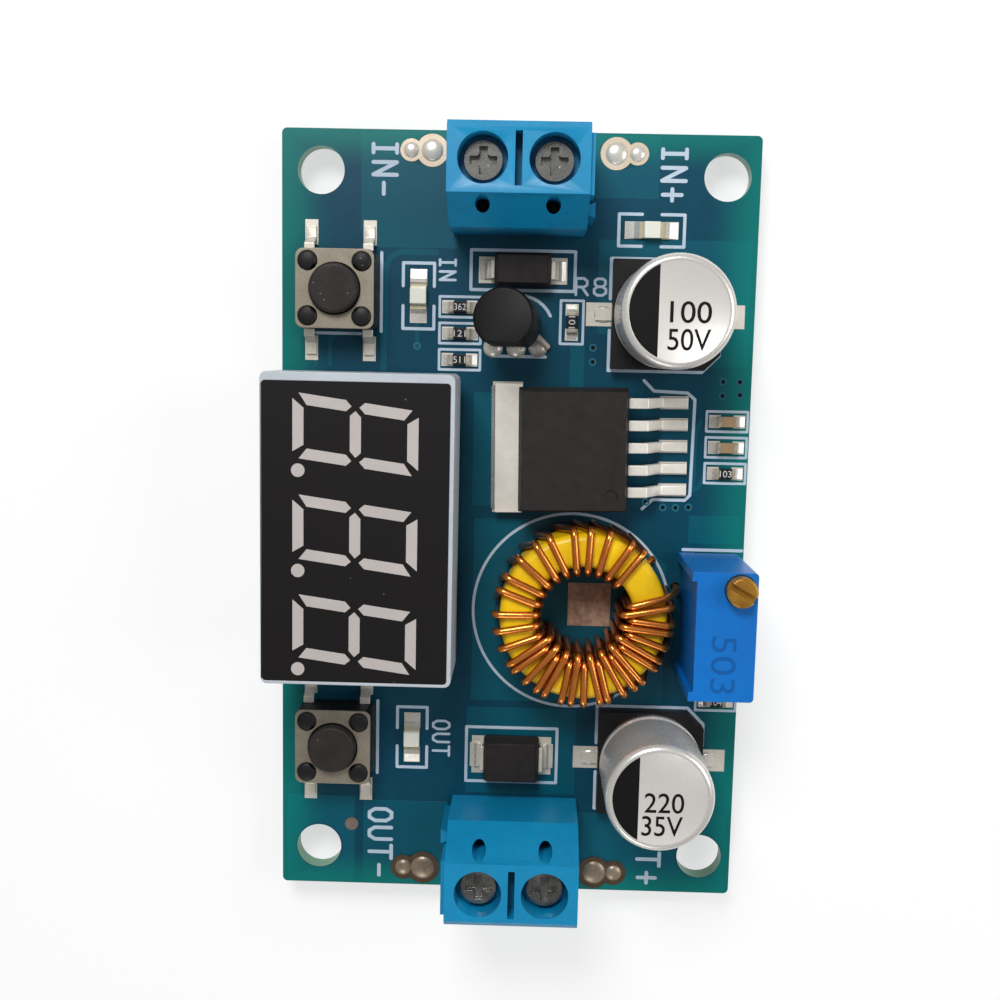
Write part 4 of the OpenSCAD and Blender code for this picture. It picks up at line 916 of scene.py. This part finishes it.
def winding(centre, inner, outer, low, high):
    """The wire again as one smooth tube, on the same turns as its solid."""
    wire, gap, bend, bend_steps = 0.56, 0.08, 0.5, 6
    layer_in, layer_lift = wire + 0.04, 0.16
    lean_most, lean_rhythm, rise_lag = 1.8, 137, 0.8
    lane = gap + wire / 2
    r_in, r_out = inner - lane, outer + lane
    z_low, z_high = low - lane, high + lane
    dense, sparse = 20, 13
    dense_step, sparse_step, first = 8.6, 13.0, 15.5

    def angle(i):
        if i <= dense:
            return first - dense_step * i
        return first - dense_step * dense - sparse_step * (i - dense)

    def on_ring(r, z, degrees):
        a = math.radians(degrees)
        return Vector((centre.x + r * math.cos(a), centre.y + r * math.sin(a), z))

    def corner(which, i):
        """The wire round one corner of turn i; every other close turn lies over its neighbours."""
        over = 1 if i < dense and i % 2 else 0
        inside = r_in - layer_in * over + bend
        lift = layer_lift * over
        if which == "inner low":
            at, start, degrees = (inside, z_low + bend - lift), 180, angle(i)
        elif which == "outer low":
            at, start, degrees = (r_out - bend, z_low + bend), 270, angle(i - rise_lag)
        elif which == "outer high":
            lean = lean_most * math.sin(math.radians(lean_rhythm * i))
            at, start, degrees = (r_out - bend, z_high - bend), 0, angle(i) + lean
        else:
            at, start, degrees = (inside, z_high - bend + lift), 90, angle(i)
        return [on_ring(r, z, degrees) for r, z in arc(at, bend, start, start + 90, bend_steps)]

    # the first end rises from the board beside the trimmer and runs over to the top
    start_x, start_y = corners("trimmer_pins")[0].x - 1.5, centre.y + 1.6
    path = [
        Vector((start_x, start_y, REST_Z)),
        Vector((start_x, start_y, BOARD_TOP + 1.6)),
        Vector((start_x - 0.15, start_y, BOARD_TOP + 2.4)),
        on_ring(r_out + 0.6, z_high - 1.6, angle(0)),
        on_ring(r_out, z_high - 0.35, angle(0)),
        on_ring(r_out - 0.5, z_high, angle(0)),
    ]
    path += corner("inner high", 0)
    for i in range(1, dense + sparse):
        path += corner("inner low", i - 1)
        path += corner("outer low", i)
        path += corner("outer high", i)
        path += corner("inner high", i)
    path += corner("inner low", dense + sparse - 1)
    # the last end goes outwards below the core and down through the board
    last = angle(dense + sparse)
    end = on_ring(r_out, 0, last)
    path += [
        on_ring(r_out - 0.6, z_low, last),
        Vector((end.x, end.y, z_low - 0.2)),
        Vector((end.x, end.y, REST_Z)),
    ]
    curve = bpy.data.curves.new("wire", "CURVE")
    curve.dimensions = "3D"
    spline = curve.splines.new("POLY")
    spline.points.add(len(path) - 1)
    for point, at in zip(spline.points, path):
        point.co = (*(at * MM), 1)
    curve.bevel_depth = wire / 2 * MM
    curve.bevel_resolution = 4
    curve.use_fill_caps = True
    mesh = mesh_of_curve(curve)
    mesh.shade_smooth()
    piece = in_scene("winding_finished", mesh)
    finish_piece(piece, "copper", "board", ["inductor_winding"])


# ---------- capacitors ----------

LID_DROP = 0.03  # the lid lies this much below the can's rim


def can_shape(which, r, low, high, lid_r):
    """The can with its crimp and rounded rim; the lid inside lid_r has a finish of its own."""
    crimp_z, crimp_height, crimp_depth, steps = BOARD_TOP + 2.1, 0.8, 0.35, 8
    foot, rim = 0.2, r - lid_r
    centre = (low + high) / 2
    crimp = [
        (r - crimp_depth * math.sin(math.pi * i / steps), crimp_z + crimp_height * i / steps)
        for i in range(1, steps)
    ]
    profile = (
        [(0, low.z), (r - foot, low.z), (r, low.z + foot), (r, crimp_z)]
        + crimp
        + [(r, crimp_z + crimp_height)]
        + arc((r - rim, high.z - rim), rim, 0, 90, 8)
        + [(lid_r - 0.05, high.z - LID_DROP), (0, high.z - LID_DROP)]
    )
    bm = bmesh.new()
    turned(bm, profile, centre, 96)
    can = piece_from(bm, which + "_can_finished", sharp=50)
    finish_piece(can, "can_side", "board", [which + "_can"])
    can.data.materials.append(FINISHES["can_top"].material)
    for face in can.data.polygons:
        from_axis = (Vector(face.center[:2]) / MM - centre.xy).length
        if face.normal.z > 0.9 and from_axis < lid_r:
            face.material_index = 1


def capacitor(which, segment_x, figures):
    """A can with a printed segment left of segment_x, and figures at places from its middle."""
    low, high = corners(which + "_can")
    centre = (low + high) / 2
    r = (high.x - low.x) / 2
    lid_r, lid_z = r - 0.5, high.z - LID_DROP
    can_shape(which, r, low, high, lid_r)
    bm = bmesh.new()
    disc(bm, centre, lid_r - 0.02, lid_z - 0.01, lid_z + 0.012, 96)
    bmesh.ops.bisect_plane(
        bm,
        geom=bm.verts[:] + bm.edges[:] + bm.faces[:],
        plane_co=(segment_x * MM, 0, 0),
        plane_no=(1, 0, 0),
        clear_outer=True,
    )
    bmesh.ops.holes_fill(bm, edges=[e for e in bm.edges if e.is_boundary])
    finish_piece(piece_from(bm, which + "_segment", sharp=20), "can_print", "board")
    for i, (text, at, size) in enumerate(figures):
        place = (centre.x + at[0], centre.y + at[1], lid_z + 0.008)
        piece = lettering(which + "_figures_" + str(i), text, place, size, 0.016, bold=0.003)
        finish_piece(piece, "can_print", "board")
    softened(which + "_base", "black", 0.12)


# ---------- terminals ----------


def terminals():
    for side in ("in", "out"):
        softened(side + "_housing", "terminal_blue", 0.1)
        repaint(side + "_contacts", "bar")
        for hand in ("left", "right"):
            softened(side + "_cage_" + hand, "nickel", 0.06)
            softened(side + "_screw_" + hand, "screw", 0.04)


# ---------- switches ----------


def switches():
    for which in ("switch_1", "switch_2"):
        softened(which + "_base", "black", 0.08)
        softened(which + "_cover", "cover", 0.06, 3)
        softened(which + "_button", "button", 0.12, 3)
        repaint(which + "_dome", "nickel")
        softened(which + "_legs", "tin", 0.05)


# ---------- display ----------


def display():
    softened("display_shell", "display_case", 0.12, 3)
    repaint("display_face", "display_front")
    repaint("display_segments", "segment")
    repaint("display_filling", "potting")
    repaint("display_pins", "tin")
    softened("meter_chips", "epoxy", 0.05)
    repaint("meter_chip_leads", "tin")


# ---------- chips and small parts ----------


def power_chip():
    softened("power_chip_body", "epoxy", 0.1, 3)
    # the tab and leads take the lighter copy of tin, as painted light
    softened("power_chip_tab", "tin_with_painted_light", 0.08)
    softened("power_chip_leads", "tin_with_painted_light", 0.09)


def chip_codes():
    """The value codes on the chip resistors."""
    codes = ["362", "121", "511", "101", "103", "104"]
    size, height, thickness = (0.92, 0.5), 0.002, 0.012
    for i, (low, high) in enumerate(solids_of("chip_resistors")):
        at = ((low.x + high.x) / 2, (low.y + high.y) / 2, high.z + height)
        turn = 90 if high.y - low.y > high.x - low.x else 0
        piece = lettering("chip_code_" + str(i), codes[i % len(codes)], at, size, thickness, turn)
        finish_piece(piece, "figures", "board")


def small_parts():
    softened("regulator_body", "epoxy_shiny", 0.12, 3, 40)
    repaint("regulator_leads", "tin")
    softened("input_diode", "epoxy", 0.08)
    softened("output_diode", "epoxy", 0.08)
    softened("diode_leads", "tin", 0.05)
    repaint("capacitor_leads", "tin")
    softened("chip_resistors", "resistor", 0.03)
    softened("chip_capacitors", "capacitor", 0.04)
    softened("chip_end_caps", "chip_end", 0.04)
    chip_codes()
    softened("indicator_bases", "led_base", 0.02)
    softened("indicator_lenses", "led_lens", 0.06)
    softened("indicator_terminals", "gold", 0.03)
    repaint("solder_fillets", "solder")
    repaint("solder_joints", "solder")
    repaint("wire_pads", "wire_pad")
    repaint("solder_pads", "tin")
    repaint("circuit_board", "mask")


def trimmer():
    """The trimmer with the figures moulded into its top."""
    softened("trimmer_housing", "trimmer_blue", 0.14, 3)
    softened("trimmer_screw", "brass", 0.05)
    repaint("trimmer_pins", "tin")
    low, high = corners("trimmer_housing")
    at = ((low.x + high.x) / 2 + 0.1, low.y + 2.75, high.z + 0.004)
    piece = lettering("trimmer_figures", "503", at, (4.2, 1.75), 0.06, turn=-90, bold=-0.01)
    # the figures are a darker blue than the housing: painted shade of their relief
    finish_piece(piece, "trimmer_figures_painted_shade", "board")


# ---------- setting ----------


def floor():
    """A pale floor that glows a little where it is seen, so that it stays nearly white."""
    glow_share = 0.6
    mesh = bpy.data.meshes.new("floor")
    bm = bmesh.new()
    level = Matrix.Translation((0, 0, REST_Z * MM))
    bmesh.ops.create_grid(bm, x_segments=1, y_segments=1, size=3, matrix=level)
    bm.to_mesh(mesh)
    bm.free()
    in_scene("floor", mesh)
    material = bpy.data.materials.new("pale floor")
    material.use_nodes = True
    tree = material.node_tree
    shader = tree.nodes["Principled BSDF"]
    shader.inputs["Base Color"].default_value = (0.92, 0.92, 0.92, 1)
    shader.inputs["Roughness"].default_value = 0.9
    shader.inputs["Specular IOR Level"].default_value = 0.1
    path = add_node(tree, "LightPath").outputs
    seen = calculate(tree, "MAXIMUM", path["Is Camera Ray"], path["Is Glossy Ray"])
    seen = calculate(tree, "MAXIMUM", seen, path["Is Transmission Ray"])
    mix = add_node(tree, "MixShader", Fac=calculate(tree, "MULTIPLY", seen, glow_share))
    feed(tree, mix.inputs[1], shader.outputs[0])
    feed(tree, mix.inputs[2], add_node(tree, "Emission", Strength=1.0).outputs[0])
    feed(tree, tree.nodes["Material Output"].inputs["Surface"], mix.outputs[0])
    mesh.materials.append(material)


def surroundings():
    """White all round, which lights the board less than it shows."""
    lit, shown = 0.3, 1.0
    world = bpy.data.worlds.new("studio")
    bpy.context.scene.world = world
    world.use_nodes = True
    tree = world.node_tree
    sky = tree.nodes["Background"]
    sky.inputs["Color"].default_value = (1, 1, 1, 1)
    camera_ray = add_node(tree, "LightPath").outputs["Is Camera Ray"]
    feed(tree, sky.inputs["Strength"], blended(tree, "FLOAT", camera_ray, lit, shown))


# Place and size in millimetres, power in watts; each lamp faces the board's middle
LAMPS = [
    ("key", (-35, 120, 175), 70, 0.33),
    ("fill", (150, 20, 130), 110, 0.14),
    ("front", (-30, -180, 110), 90, 0.09),
]


def lamps():
    for name, at, size, power in LAMPS:
        data = bpy.data.lights.new(name, "AREA")
        data.size = size * MM
        data.energy = power
        lamp = in_scene(name, data)
        lamp.location = Vector(at) * MM
        lamp.rotation_euler = (-lamp.location).to_track_quat("-Z", "Y").to_euler()


def camera():
    data = bpy.data.cameras.new("camera")
    data.sensor_width = 36
    data.lens = 47.92
    data.shift_y = 0.0433
    data.clip_start, data.clip_end = 0.001, 10
    seat = in_scene("camera", data)
    seat.location = Vector((0.906, 12.969, 105.898)) * MM
    seat.rotation_euler = [math.radians(a) for a in (-7.902, 1.341, 1.220)]
    bpy.context.scene.camera = seat


board_print()
via_rings()
copper_areas()
solder_blobs()
browned_solder()
browned_test_pad()
inductor()
reflection_painted_pad()
capacitor("input_capacitor", 9.7, [("100", (0.8, -0.05), (2.9, 1.5)), ("50V", (0.75, -1.95), (3.0, 1.5))])
capacitor("output_capacitor", 9.55, [("220", (0.3, -0.3), (2.9, 1.5)), ("35V", (0.2, -2.05), (3.0, 1.52))])
terminals()
switches()
display()
power_chip()
small_parts()
trimmer()
floor()
surroundings()
lamps()
camera()
bpy.context.scene.view_settings.view_transform = "Standard"
